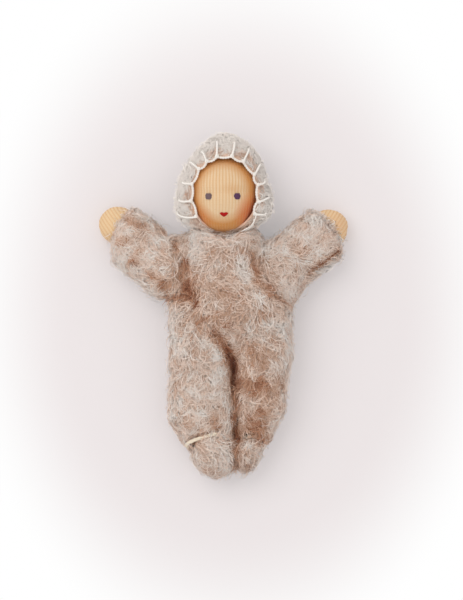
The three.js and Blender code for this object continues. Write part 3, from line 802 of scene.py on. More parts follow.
def tie(name, middle, axes, radius, thick, rise, twist, body, stands_for):
    """A thread wound three times: a helix in the first two of three axes that rises along the third."""
    across, up, way = axes
    turn = np.linspace(0, 6 * np.pi, 90)
    ring = np.cos(turn)[:, None] * across + np.sin(turn)[:, None] * up
    path = middle + radius * ring + rise * (turn / np.pi - 3)[:, None] * way
    threads(name, [tube(path, thick, 6, plies=2, twist=twist)], "thread", body, stands_for)


def middle_of(cad_name):
    """The middle of a CAD node's box."""
    return sum(np.array(corner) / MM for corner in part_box(cad_name)) / 2


def feed(tree, socket, value):
    """Links an input to another socket, or sets it to a value."""
    if isinstance(value, bpy.types.NodeSocket):
        tree.links.new(value, socket)
    else:
        socket.default_value = value


def node(tree, kind, inputs=None, **settings):
    """A node with its settings, and its inputs set to values or linked to sockets."""
    one = tree.nodes.new(kind)
    for key, value in settings.items():
        setattr(one, key, value)
    for key, value in (inputs or {}).items():
        feed(tree, one.inputs[key], value)
    return one


def new_material(name, roughness, sheen=0.0):
    """A material with its nodes and its surface shader."""
    one = bpy.data.materials.new(name)
    one.use_nodes = True
    shader = one.node_tree.nodes["Principled BSDF"]
    for key, value in (("Roughness", roughness), ("Specular IOR Level", 0.2), ("Sheen Weight", sheen)):
        shader.inputs[key].default_value = value
    return one, one.node_tree, shader


def ramp(tree, factor, stops):
    """A colour ramp over a factor, from (place, colour) stops."""
    one = node(tree, "ShaderNodeValToRGB", {"Fac": factor})
    elements = one.color_ramp.elements
    while len(elements) < len(stops):
        elements.new(0.5)
    for element, (place, colour) in zip(elements, stops):
        element.position = place
        element.color = (*colour, 1.0)
    return one.outputs["Color"]


def colour_mix(tree, factor, a, b, blend="MIX"):
    """Two colours mixed by a factor. A Mix node has sockets of the same names for each type of value."""
    one = node(tree, "ShaderNodeMix", data_type="RGBA", blend_type=blend)
    for key, kind, value in (("Factor", "VALUE", factor), ("A", "RGBA", a), ("B", "RGBA", b)):
        socket = next(s for s in one.inputs if s.name == key and s.type == kind)
        if kind == "RGBA" and not isinstance(value, bpy.types.NodeSocket):
            value = (*value, 1.0)
        feed(tree, socket, value)
    return next(s for s in one.outputs if s.type == "RGBA")


def maths(tree, operation, *values, clamp=False):
    """A Math node of one to three values or sockets."""
    one = node(tree, "ShaderNodeMath", operation=operation, use_clamp=clamp)
    for socket, value in zip(one.inputs, values):
        feed(tree, socket, value)
    return one.outputs[0]


def tinted(tree, mask, share, colour, other):
    """A colour turned to another by a share of a mask."""
    return colour_mix(tree, maths(tree, "MULTIPLY", mask, share), colour, other)


def between(a, b, share=0.5):
    """A colour a share of the way from one to another."""
    return tuple((1 - share) * p + share * q for p, q in zip(a, b))


def span(tree, value, before, after, **settings):
    """A value carried from one range to another."""
    ends = {"From Min": before[0], "From Max": before[1], "To Min": after[0], "To Max": after[1]}
    return node(tree, "ShaderNodeMapRange", {"Value": value, **ends}, **settings).outputs["Result"]


def object_place(tree):
    """The socket of the piece's own coordinates, in metres."""
    one = tree.nodes.get("Texture Coordinate") or node(tree, "ShaderNodeTexCoord")
    return one.outputs["Object"]


def grain(tree, scale, detail, distortion=0.0):
    """Noise over the piece's own coordinates."""
    inputs = {"Vector": object_place(tree), "Scale": scale, "Detail": detail, "Distortion": distortion}
    return node(tree, "ShaderNodeTexNoise", inputs).outputs["Fac"]


def glow(tree, middle, size):
    """From 1 at a middle to 0 at the edge of an ellipsoid of the given half sizes, in millimetres."""
    scale = tuple(1 / (MM * half) for half in size)
    offset = tuple(-m / half for m, half in zip(middle, size))
    inputs = {"Vector": object_place(tree), "Location": offset, "Scale": scale}
    mapped = node(tree, "ShaderNodeMapping", inputs).outputs["Vector"]
    return node(tree, "ShaderNodeTexGradient", {"Vector": mapped}, gradient_type="SPHERICAL").outputs["Fac"]


def knit_group():
    """A node group for jersey. From a map whose whole numbers are wales across and courses along, it gives
    Groove, 1 in the line between two wales, Height, the rounded wales with the slanting legs of their
    stitches, and Gap, what the height lacks of 1."""
    group = bpy.data.node_groups.new("jersey_knit", "ShaderNodeTree")
    group.interface.new_socket("Map", in_out="INPUT", socket_type="NodeSocketVector")
    for name in ("Groove", "Height", "Gap"):
        group.interface.new_socket(name, in_out="OUTPUT", socket_type="NodeSocketFloat")
    start, end = node(group, "NodeGroupInput"), node(group, "NodeGroupOutput")
    split = node(group, "ShaderNodeSeparateXYZ", {"Vector": start.outputs["Map"]}).outputs
    across = maths(group, "ABSOLUTE", maths(group, "SUBTRACT", maths(group, "FRACT", split["X"]), 0.5))
    groove = maths(group, "POWER", maths(group, "MULTIPLY", across, 2.0), 2.5)
    slant = maths(group, "ADD", split["Y"], maths(group, "MULTIPLY", across, 1.1))
    stitch = maths(group, "ABSOLUTE", maths(group, "SINE", maths(group, "MULTIPLY", slant, math.pi)))
    wale = maths(group, "SUBTRACT", 1.0, groove)
    high = maths(group, "MULTIPLY", wale, maths(group, "ADD", 0.55, stitch))
    gap = maths(group, "SUBTRACT", 1.0, high, clamp=True)
    for name, socket in (("Groove", groove), ("Height", high), ("Gap", gap)):
        group.links.new(socket, end.inputs[name])
    return group


def knit(tree):
    """The outputs of the jersey knit placed in a material, reading the piece's map."""
    group = bpy.data.node_groups.get("jersey_knit") or knit_group()
    place = node(tree, "ShaderNodeUVMap", uv_map="knit").outputs["UV"]
    return node(tree, "ShaderNodeGroup", {"Map": place}, node_tree=group).outputs


def paint_pile(tree, colours):
    """Mohair: its map gives the fibre's tone across and the place from root to tip upwards. Each fibre is
    darkened towards its root as painted shade.
    """
    place = node(tree, "ShaderNodeUVMap", uv_map="fibre").outputs["UV"]
    split = node(tree, "ShaderNodeSeparateXYZ", {"Vector": place}).outputs
    tones = (colours.umber, colours.brown, colours.beige, colours.cream, colours.white)
    tone = ramp(tree, split["X"], tuple(zip((0.0, 0.24, 0.46, 0.7, 0.95), tones)))
    # Painted shade: darker towards each fibre's root
    root = span(tree, split["Y"], (0.0, 0.4), (0.8, 1.0))
    shade = node(tree, "ShaderNodeCombineColor", {key: root for key in ("Red", "Green", "Blue")})
    return colour_mix(tree, 1.0, tone, shade.outputs["Color"], "MULTIPLY"), None


def paint_backing(tree, colours):
    """Knitted backing under the pile: patches of its own colours, and the matted roots of the fibres."""
    roots = grain(tree, 1800.0, 2.0)
    stops = ((0.25, colours.beige), (0.42, colours.backing), (0.72, colours.cream))
    patches = ramp(tree, grain(tree, 260.0, 3.0), stops)
    return tinted(tree, roots, 0.6, patches, colours.beige), (roots, 0.6, 0.3)


def paint_wool(tree, colours):
    """Carded wool: fine crossing fibres."""
    fine = grain(tree, 900.0, 4.0, 1.5)
    return tinted(tree, fine, 0.4, colours.wool, colours.beige), (fine, 0.5, 0.4)


def paint_face(tree, colours):
    """Skin jersey of the face: pale in the middle, browned towards the hood partly by blush and partly as
    painted shade under the hood's edge, with red cheeks and a golden spot of painted shade from a dent
    between the eyes. The grooves between its wales and the low parts of its knit are darkened as painted
    shade. Its wales show least at the chin."""
    jersey = knit(tree)
    golden = between(colours.jersey, colours.rim)
    middle = glow(tree, HEAD + FACE_MIDDLE, (1.25 * OPENING[0], 1.25 * OPENING[1], 60.0))
    # Painted shade: the golden brown towards the hood is partly blush and partly shade under its edge
    colour = ramp(tree, middle, ((0.33, colours.rim), (0.41, golden), (0.54, colours.jersey)))
    cheeks = [maths(tree, "MULTIPLY", glow(tree, HEAD + at, size), red) for at, size, red in CHEEKS]
    colour = colour_mix(tree, maths(tree, "ADD", *cheeks, clamp=True), colour, colours.blush)
    # Painted shade of a dent between the eyes
    colour = tinted(tree, glow(tree, HEAD + BROW_SHADE[0], BROW_SHADE[1]), 0.6, colour, golden)
    colour = tinted(tree, grain(tree, 900.0, 2.0), 0.25, colour, golden)
    up = node(tree, "ShaderNodeSeparateXYZ", {"Vector": object_place(tree)}).outputs["Y"]
    clear = span(tree, up, ((HEAD[1] - 5.0) * MM, (HEAD[1] - 0.5) * MM), (0.22, 0.55))
    # Painted shade in the grooves between the wales and in the low parts of the knit
    colour = colour_mix(tree, maths(tree, "MULTIPLY", jersey["Groove"], clear), colour, colours.rim)
    return tinted(tree, jersey["Gap"], 0.4, colour, golden), (jersey["Height"], 0.5, 0.15)


def paint_hand(tree, colours):
    """Skin jersey of the hands and the neck, darker in the grooves between its wales and in the low parts of
    its knit as painted shade, and warmer at one side of the left hand."""
    jersey = knit(tree)
    golden = between(colours.hand, colours.rim, 0.55)
    colour = tinted(tree, grain(tree, 500.0, 2.0), 0.25, colours.hand, golden)
    # Painted shade in the grooves between the wales and in the low parts of the knit
    colour = tinted(tree, maths(tree, "POWER", jersey["Groove"], 0.6), 0.55, colour, golden)
    colour = tinted(tree, jersey["Gap"], 0.45, colour, golden)
    warm = glow(tree, JOINTS["left_shoulder"] + WARM_HAND[0], WARM_HAND[1])
    colour = tinted(tree, warm, 0.3, colour, between(colours.hand, colours.blush))
    return colour, (jersey["Height"], 0.8, 0.12)


def thread_of(colour_name):
    """What paints spun thread or wool: fine fibres that shade its colour."""

    def paint(tree, colours):
        colour = getattr(colours, colour_name)
        fine = grain(tree, 2600.0, 3.0)
        return tinted(tree, fine, 0.5, colour, tuple(0.72 * channel for channel in colour)), (fine, 0.4, 0.05)

    return paint


# Of each kind of cloth, wool or thread: its material's name, roughness and sheen, what paints it, and its
# slot. A paint gives a colour, and a bump as a height, a strength and a distance in millimetres.
KINDS = {
    "pile": ("pile", 0.75, 0.6, paint_pile, "suit_plush"),
    "backing": ("plush_backing", 1.0, 0.0, paint_backing, "suit_plush"),
    "wool": ("carded_wool", 1.0, 0.0, paint_wool, "wool"),
    "face": ("face_jersey", 0.85, 0.1, paint_face, "skin_jersey"),
    "hand": ("hand_jersey", 0.85, 0.0, paint_hand, "skin_jersey"),
    "thread": ("white_cotton", 0.7, 0.0, thread_of("thread"), "white_thread"),
    "yarn": ("ankle_yarn", 0.8, 0.0, thread_of("yarn"), "ankle_thread"),
    # Both eyes are one violet wool, painted lighter on the right eye and as shade on the left
    "right_eye": ("violet_eye_painted_light", 0.7, 0.0, thread_of("eye"), "eye_wool"),
    "left_eye": ("violet_eye_painted_shade", 0.7, 0.0, thread_of("shaded_eye"), "eye_wool"),
    "mouth": ("red_wool", 0.7, 0.0, thread_of("mouth"), "mouth_wool"),
}
MATERIALS = {}  # those that are already built


def material(kind):
    """The material of a kind, built when it is first asked for."""
    if kind not in MATERIALS:
        name, roughness, sheen, paint, _ = KINDS[kind]
        MATERIALS[kind], tree, shader = new_material(name, roughness, sheen)
        colour, bump = paint(tree, bpy.context.scene.doll_colours)
        tree.links.new(colour, shader.inputs["Base Color"])
        if bump is not None:
            inputs = {"Height": bump[0], "Strength": bump[1], "Distance": bump[2] * MM}
            normal = node(tree, "ShaderNodeBump", inputs).outputs["Normal"]
            tree.links.new(normal, shader.inputs["Normal"])
    return MATERIALS[kind]


def pile_height():
    """The height of the pile over its backing, in millimetres."""
    return bpy.context.scene.doll_pile.height / MM


def ribs(wale, high):
    """How far a jersey's wales rib its surface, by the size of the cosine of half a turn for each wale."""
    return high * (np.abs(np.cos(np.pi * wale)) ** 0.7 - 0.6)


def down_the_front(points):
    """The lie of the trunk's pile: down, and outwards over the seams of the sleeves."""
    out = 0.04 * points[:, 0]
    for side, sign in SIDES.items():
        out += 1.6 * sign * bell(past_arm_seam(side, points), 2.0)
    return np.stack([out, -np.ones(len(points)), 0.1 * np.ones(len(points))], -1)


def arm_way(side):
    """The direction along an arm from its shoulder."""
    turn = math.radians(SLEEVE_TURN[side])
    return np.array((-math.sin(turn), math.cos(turn), 0.0))


def along_the_sleeve(side):
    """The lie of a sleeve's pile: outwards and down, and back over its seam."""

    def comb(points):
        back = np.stack([-1.8 * SIDES[side] * bell(past_arm_seam(side, points), 2.2)], -1)
        return 0.8 * arm_way(side) + (0.0, -0.6, 0.0) + back * (1.0, 0.0, 0.0)

    return comb


def down_the_leg(side):
    """The lie of a leg's pile: down, outwards, and over the split from both sides."""

    def comb(points):
        near = np.clip((SIDES[side] * (points[:, 0] - LEG_SPLIT) - 3.0) / 3.0, -1.0, 1.0)
        across = SIDES[side] * np.where(near < 0, 0.9, 0.25) * near
        return np.stack([across, -np.ones(len(points)), 0 * near], -1)

    return comb


def arm_spine(side, first, last, up=6.6):
    """Two points along an arm from its shoulder, at a height."""
    base = np.array((*JOINTS[f"{side}_shoulder"][:2], up))
    return base + first * arm_way(side), base + last * arm_way(side)


def leg_spine(side, first, last):
    """Two points along a leg from its hip."""
    x, y, _ = JOINTS[f"{side}_hip"]
    places = ((at, eased(LEG_AT[side], LEG_WIDE[side], np.array(at))) for at in (first, last))
    return [np.array((x + leg_middle(side, wide), y + at, LEG_HEIGHT)) for at, wide in places]


class DOLL_OT_trunk(bpy.types.Operator):
    """Makes the trunk's plush, its pile and the wool inside"""

    bl_idname = "doll.trunk"
    bl_label = "Trunk"

    def execute(self, context):
        suit = suit_form("trunk", "right_sleeve", "left_sleeve", "right_leg", "left_leg")
        form = cut(suit, trunk_region)
        cloth = skin("trunk_plush", form, pile_height(), TRUNK_SPINE, (60, 110), "torso", "body_cover", 0.75)
        skin("trunk_filling", form, FILLING_DEPTH, TRUNK_SPINE, (30, 40), "torso", "body_wool", kind="wool")
        both_piles("trunk_pile", suit, cloth, (7000, 3800), down_the_front, "torso", [past_ball])
        self.collar(suit, cloth)
        self.hips(suit, cloth)
        return {"FINISHED"}

    def collar(self, suit, cloth):
        """Pile that rises round the neck and over the hood's lower edge."""

        def over(points):
            return smooth_least(suit(points), hood_form(points) - 0.45, 1.2)

        def rim(points):
            return (points[:, 2] > HEAD[2] - 1.0) & (past_ball(points) < 2.6)

        def comb(points):
            return (0.0, 1.0, 0.2) + 0 * points

        pile(
            "trunk_collar_pile", over, cloth, 1700, comb, "torso", keep=rim, pale=0.08, near=1.6,
            clear=off_face, steps=5, draws=50,
        )

    def hips(self, suit, cloth):
        """Pile that fills the line where the trunk's cloth meets that of the legs."""

        def line(points):
            return (np.abs(points[:, 1] - HIP_LINE) < 2.0) & (points[:, 2] > 6.0)

        pile(
            "trunk_hip_pile", suit, cloth, 700, down_the_front, "torso", keep=line, near=2.5, steps=5,
            draws=50,
        )


class DOLL_OT_sleeves(bpy.types.Operator):
    """Makes both sleeves with their pile and the wool inside"""

    bl_idname = "doll.sleeves"
    bl_label = "Sleeves"

    def execute(self, context):
        for side in SIDES:
            self.sleeve(side)
        return {"FINISHED"}

    def sleeve(self, side):
        """A sleeve whose pile reaches a little over the hand."""
        name, arm = f"{side}_sleeve", f"{side}_arm"
        suit, hand = suit_form("trunk", name), arm_form(side, HAND, HAND_ENDS)
        form = cut(suit, sleeve_region(side))
        shoulder, out = JOINTS[f"{side}_shoulder"], np.array((SIDES[side], 0.0, 0.0))
        body = ("torso", arm, shoulder - 4.0 * out, shoulder + 5.0 * out)
        spine, inner_spine = arm_spine(side, 0.0, 13.0), arm_spine(side, 0.0, 8.0)
        cloth = skin(f"{name}_plush", form, pile_height(), spine, (48, 84), body, name, 0.7)
        skin(f"{arm}_filling", form, FILLING_DEPTH, inner_spine, (24, 32), body, f"{arm}_wool", kind="wool")

        def over(points):
            return smooth_least(suit(points), hand(points) + 0.3, 1.2)

        def own(points):
            return suit(points) + pile_height() < 0.6

        both_piles(f"{name}_pile", over, cloth, (5600, 2300), along_the_sleeve(side), body, own=own)


class DOLL_OT_hands(bpy.types.Operator):
    """Makes both mitten hands of ribbed jersey, their wool and the threads at their wrists"""

    bl_idname = "doll.hands"
    bl_label = "Hands"

    def execute(self, context):
        for side in SIDES:
            self.hand(side)
        return {"FINISHED"}

    def hand(self, side):
        """A mitten whose wales run aslant, up and towards the middle of the doll."""
        form, body, sign = arm_form(side, HAND, HAND_ENDS), f"{side}_arm", SIDES[side]
        spine = arm_spine(side, 13.0, 20.0, 5.2)
        points, faces = wrapped(lambda p: form(p) - 0.25 * LUMPS(p, 3.5), *spine, 76, 168)
        x, y = points[:, 0], points[:, 1]
        wale = (-sign * 0.83 * x + 0.55 * y + 0.15 * LUMPS(points, 4.0)) / HAND_WALE
        course = (0.55 * x + sign * 0.83 * y) / HAND_COURSE
        points = above_table(points + ribs(wale, 0.11)[:, None] * slope(form, points), LIFT)
        maps = [("knit", np.stack([wale, course], -1))]
        made(f"{side}_hand_skin", points, faces, "hand", body, f"{side}_hand_jersey", 0.8, maps)
        points, faces = wrapped(lambda p: form(p) + 1.1, *arm_spine(side, 13.5, 19.5, 5.0), 20, 28)
        made(f"{side}_hand_filling", above_table(points, 0.8), faces, "wool", body, f"{side}_hand_wool")
        way, thread = arm_way(side), f"{side}_wrist_thread"
        axes = (np.cross(way, UP), UP, way)
        tie(f"{side}_wrist_tie", middle_of(thread), axes, 2.75, 0.2, 0.35 / 3, 1.2, body, thread)


class DOLL_OT_legs(bpy.types.Operator):
    """Makes both legs and feet with their pile, the wool inside and the yarn round each ankle"""

    bl_idname = "doll.legs"
    bl_label = "Legs"

    def execute(self, context):
        for side in SIDES:
            self.leg(side)
            self.binding(side)
        return {"FINISHED"}

    def leg(self, side):
        """A leg and its foot, with the ankle's seam between their cloths. A pile of its own lies in the split
        between the legs, its fibres darkened as painted shade."""
        leg, foot, (x, _, z) = f"{side}_leg", f"{side}_foot", JOINTS[f"{side}_hip"]
        suit, feet = suit_form("trunk", "right_leg", "left_leg"), suit_form("right_leg", "left_leg")
        whole, region, comb = leg_form(side), leg_region(side), down_the_leg(side)
        body = ("torso", leg, (x, HIP_LINE, z), (x, HIP_LINE - 11.0, z))

        def above(points):
            return 0.1 * BINDING - ankle_plane(side, points)

        def below(points):
            return 0.1 * BINDING + ankle_plane(side, points)

        def own(points):
            return region(points) < 0.3

        def inner(points):
            return np.maximum(whole(points) + 0.5, 0.6 + region(points))

        def inside(points):
            return suit(points) + pile_height() < -0.35

        form, spine = cut(suit, region, above), leg_spine(side, -1.0, -18.0)
        cloth = skin(f"{leg}_plush", form, pile_height(), spine, (66, 96), body, f"{leg}_cover", 0.75)
        form, spine = cut(feet, region, below), leg_spine(side, -27.5, -31.0)
        foot_cloth = skin(f"{foot}_plush", form, pile_height(), spine, (40, 72), leg, f"{foot}_cover", 0.75)
        form, spine = cut(suit, region), leg_spine(side, -1.0, -29.0)
        skin(f"{leg}_filling", form, FILLING_DEPTH, spine, (40, 36), body, f"{leg}_wool", kind="wool")
        clear, pale = (off_yarn, 0.0) if side == "right" else (None, -0.05)
        both_piles(f"{leg}_pile", suit, cloth, (6400, 2700), comb, body, own=own, clear=clear, pale=pale)
        pile(f"{foot}_pile", feet, foot_cloth, 2800, comb, leg, clear=clear, pale=-0.02)
        # The pile in the split between the legs is darker as painted shade
        pile(f"{leg}_inner_pile", inner, cloth, 1000, comb, body, keep=inside, pale=-0.3, near=1.5, steps=5)

    def binding(self, side):
        """The yarn round an ankle: rays in the tilted plane of the seam find the plush, and the yarn lies in
        it, deeper at both ends of where it shows."""
        whole, thread = leg_form(side), f"{side}_ankle_thread"
        tilt = math.radians(ANKLE_TILT[side])
        across = np.array((math.cos(tilt), math.sin(tilt), 0.0))
        turn = np.linspace(0, 2 * np.pi, 120, endpoint=False)
        rays = np.cos(turn)[:, None] * across + np.sin(turn)[:, None] * UP
        rays[:, 1] += ANKLE_LEAN * rays[:, 2]
        middle = middle_of(thread)
        middle[1] += ANKLE_LEAN * (middle[2] - LEG_HEIGHT) - ANKLE_DROP[side]
        ends = np.clip(rays[:, 0] * 3.0 - 0.9, 0, 1) + np.clip(-rays[:, 0] * 5.0 - 4.2, 0, 1)
        sunk = 2.2 if side == "left" else 0.2 + 1.3 * ends
        steps = np.linspace(0, 14, 141)
        inside = np.stack([whole(middle + rays * far) < -sunk for far in steps])
        far = steps[len(steps) - 1 - np.argmax(inside[::-1], axis=0)]
        path = above_table(middle + rays * far[:, None], 1.1 * BINDING)
        yarn = tube(path, BINDING, 8, closed=True, plies=3, twist=4.2)
        threads(f"{side}_ankle_binding", [yarn], "yarn", f"{side}_leg", thread)


class DOLL_OT_head(bpy.types.Operator):
    """Makes the jersey face with its eyes and mouth, the wool inside, and the neck with its thread"""

    bl_idname = "doll.head"
    bl_label = "Head"

    def execute(self, context):
        self.face()
        for side in EYES:
            self.eye(side)
        self.mouth()
        self.filling()
        self.neck()
        return {"FINISHED"}

    def face(self):
        """An ellipsoid from longitude and latitude. A wale's number is the longitude of x against the depth
        and part of the height, so that wales hardly close up towards the crown. The ball has a shallow dent
        across at the height of the eyes, where a thread under the jersey draws the head in."""
        sides, rings = 384, 100
        lon = np.arange(sides) / sides * 2 * np.pi
        lat = np.linspace(-np.pi / 2, np.pi / 2, rings + 2)[1:-1]
        lat, lon = np.meshgrid(lat, lon, indexing="ij")
        ball = np.stack([np.cos(lat) * np.sin(lon), np.sin(lat), np.cos(lat) * np.cos(lon)], -1)
        ball = np.concatenate([[(0, -1, 0)], ball.reshape(-1, 3), [(0, 1, 0)]])
        depth = np.sqrt(ball[:, 2] ** 2 + 0.6 * ball[:, 1] ** 2)
        wale = np.arctan2(ball[:, 0], depth * np.sign(ball[:, 2] + 1e-9)) * HEAD_SIZE[0] / HEAD_WALE
        wale += 0.14 * LUMPS(ball * 11.0, 3.0)
        eye_line = 0.3 * bell(ball[:, 1] + 0.03, 0.11) * np.clip(ball[:, 2] + 0.2, 0, 1)
        points = ball * (HEAD_SIZE + (ribs(wale, 0.13) - eye_line)[:, None]) + HEAD
        maps = [("knit", np.stack([wale, ball[:, 1] * HEAD_SIZE[1] / HEAD_COURSE], -1))]
        made("face_jersey", points, closed_grid(rings, sides), "face", "head", "head_jersey", 0.95, maps)

    def stitch(self, x0, y0, x1, y1, thick):
        """One satin stitch between two places on the face: it dips into the jersey at both ends."""
        part = np.linspace(0, 1, 9)
        out = -0.25 + (0.3 + thick) * np.sin(np.pi * part) ** 0.5
        x, y = x0 + (x1 - x0) * part, y0 + (y1 - y0) * part
        z = HEAD_SIZE[2] * np.sqrt(np.maximum(1 - (x / HEAD_SIZE[0]) ** 2 - (y / HEAD_SIZE[1]) ** 2, 0.01))
        place = np.stack([x, y, z], -1)
        return tube(HEAD + place + out[:, None] * unit(place / HEAD_SIZE**2), thick, 6)

    def eye(self, side):
        """Satin stitches side by side, shorter at the top and the bottom."""
        across, seed = EYES[side]
        random = np.random.default_rng(seed)
        shells = []
        for row in np.linspace(-0.68, 0.68, 7):
            half = 0.96 * math.sqrt(1 - 0.95 * (row / 0.95) ** 2) + random.uniform(-0.06, 0.06)
            start, end = EYE_HEIGHT + row, EYE_HEIGHT + row + random.uniform(-0.05, 0.05)
            shells.append(self.stitch(across - half, start, across + half, end, 0.19))
        threads(f"{side}_eye_stitches", shells, f"{side}_eye", "head", f"{side}_eye")

    def mouth(self):
        """A small heart of satin stitches, which fan from two low lobes to a point."""
        shells = []
        for x in np.linspace(-1.15, 1.15, 11):
            top = MOUTH_HEIGHT + 0.62 - 0.55 * (abs(x) - 0.55) ** 2 - 0.12 * bell(x, 0.3)
            low = MOUTH_HEIGHT - 0.72 + 0.25 * abs(x)
            shells.append(self.stitch(MOUTH_ACROSS + x, top, MOUTH_ACROSS + x * 0.2, low, 0.18))
        threads("mouth_stitches", shells, "mouth", "head", "mouth")

    def filling(self):
        """The wool of the head: a ball inside the jersey, bulged by its lumps."""
        bulge = lumps()

        def ball(points):
            size = np.linalg.norm((points - HEAD) / (HEAD_SIZE - 1.2), axis=-1)
            return (size - 1) * 10.0 + 0.4 - 0.5 * bulge(points)

        points, faces = wrapped(ball, HEAD - (0, 2, 0), HEAD + (0, 2, 0), 28, 40)
        made("head_filling", points, faces, "wool", "head", "head_wool")

    def neck(self):
        """A gathered roll: a profile of radii carried down the neck, fluted where the thread draws it in."""
        rings, sides, tilt = 40, 72, math.radians(NECK_TILT)
        across, down = np.array((1.0, 0.0, 0.0)), np.array((0.0, -math.cos(tilt), -math.sin(tilt)))
        front = np.cross(across, down)
        far = np.linspace(*NECK_ENDS, rings)
        middle, half = sum(NECK_ENDS) / 2, (NECK_ENDS[1] - NECK_ENDS[0]) / 2 + 0.03
        radius = 3.7 - 0.75 * bell(far - NECK_TIE, 0.9)
        radius *= np.sqrt(np.clip(1 - ((far - middle) / half) ** 8, 0.01, 1))
        turn = np.arange(sides) / sides * 2 * np.pi
        flute = 1 + 0.05 * np.cos(14 * turn)[None] * bell(far - NECK_TIE, 2.2)[:, None]
        around = np.cos(turn)[:, None] * across + np.sin(turn)[:, None] * front
        roll = HEAD + far[:, None, None] * down + (radius[:, None] * flute)[..., None] * around[None]
        points = np.concatenate([[HEAD + far[0] * down], roll.reshape(-1, 3), [HEAD + far[-1] * down]])
        places = np.stack(np.meshgrid(6 * turn, far / HAND_COURSE), -1).reshape(-1, 2)
        maps = [("knit", np.concatenate([[(0, 0)], places, [(0, 0)]]))]
        made("neck_skin", points, closed_grid(rings, sides), "hand", "neck", "neck_roll", maps=maps)
        axes = (across, front, down)
        tie("neck_tie", HEAD + NECK_TIE * down, axes, 3.35, 0.25, 0.12, 1.4, "neck", "neck_thread")


def hood_reach(direction):
    """How far the hood's outside lies from the middle of the head: a sphere below and an ellipsoid above,
    with a bell-shaped bulge towards either shoulder and a dent at one side of the top."""
    peak = np.where(direction[..., 1] > 0, HOOD_PEAK, HOOD_RADIUS)
    flat = np.hypot(direction[..., 0], direction[..., 2])
    reach = 1 / np.hypot(flat / HOOD_RADIUS, direction[..., 1] / peak)
    for way, high in HOOD_BULGES:
        reach = reach + high * bell(np.arccos(np.clip(direction @ np.array(way), -1, 1)), BULGE_TURN)
    return reach


def hood_form(points):
    """About how far points lie outside the hood, taken as a whole ball."""
    from_middle = points - HEAD
    far = np.maximum(np.linalg.norm(from_middle, axis=-1), 1e-6)
    return far - hood_reach(from_middle / far[..., None])


def opening_axes():
    """The way that the hood's opening faces, and the directions across and up in its plane."""
    tilt, yaw = math.radians(OPENING_TILT), math.radians(OPENING_YAW)
    front = unit(np.array((math.sin(yaw), -math.sin(tilt), math.cos(tilt))))
    across = unit(np.cross((0.0, 1.0, 0.0), front))
    return front, across, np.cross(front, across)


def round_hood(angle, turn):
    """Unit directions from the middle of the head: turned from the opening's front by one angle, in the plane
    that another angle gives round the opening, from its right hand side in the picture through its top."""
    front, across, up = opening_axes()
    flat = np.cos(angle)[..., None] * across + np.sin(angle)[..., None] * up
    return np.cos(turn)[..., None] * front + np.sin(turn)[..., None] * flat


def opening_turn(angle, below=EDGE_DEPTH, wider=0.0):
    """How far from the front the opening's edge lies, at a depth below the hood's outside: the turn at which
    the distance from the axis is that of an ellipse of the opening's size."""
    half_up = np.where(np.sin(angle) > 0, OPENING[1], OPENING[2]) + wider
    aside = 1 / np.hypot(np.cos(angle) / (OPENING[0] + wider), np.sin(angle) / half_up)
    turn = 0 * angle + 0.8
    for _ in range(12):
        turn = np.arcsin(np.clip(aside / (hood_reach(round_hood(angle, turn)) - below), 0, 0.999))
    return turn


def past_opening(points, wider=0.0):
    """The angle round the opening at which points lie, and how far they lie past its edge, as a turn seen
    from the middle of the head."""
    front, across, up = opening_axes()
    way = unit(points - HEAD)
    angle = np.arctan2(way @ up, way @ across)
    return angle, np.arccos(np.clip(way @ front, -1, 1)) - opening_turn(angle, wider=wider)


def off_face(points):
    """Where points lie outside the hood's opening."""
    return past_opening(points, wider=-0.15)[1] > 0


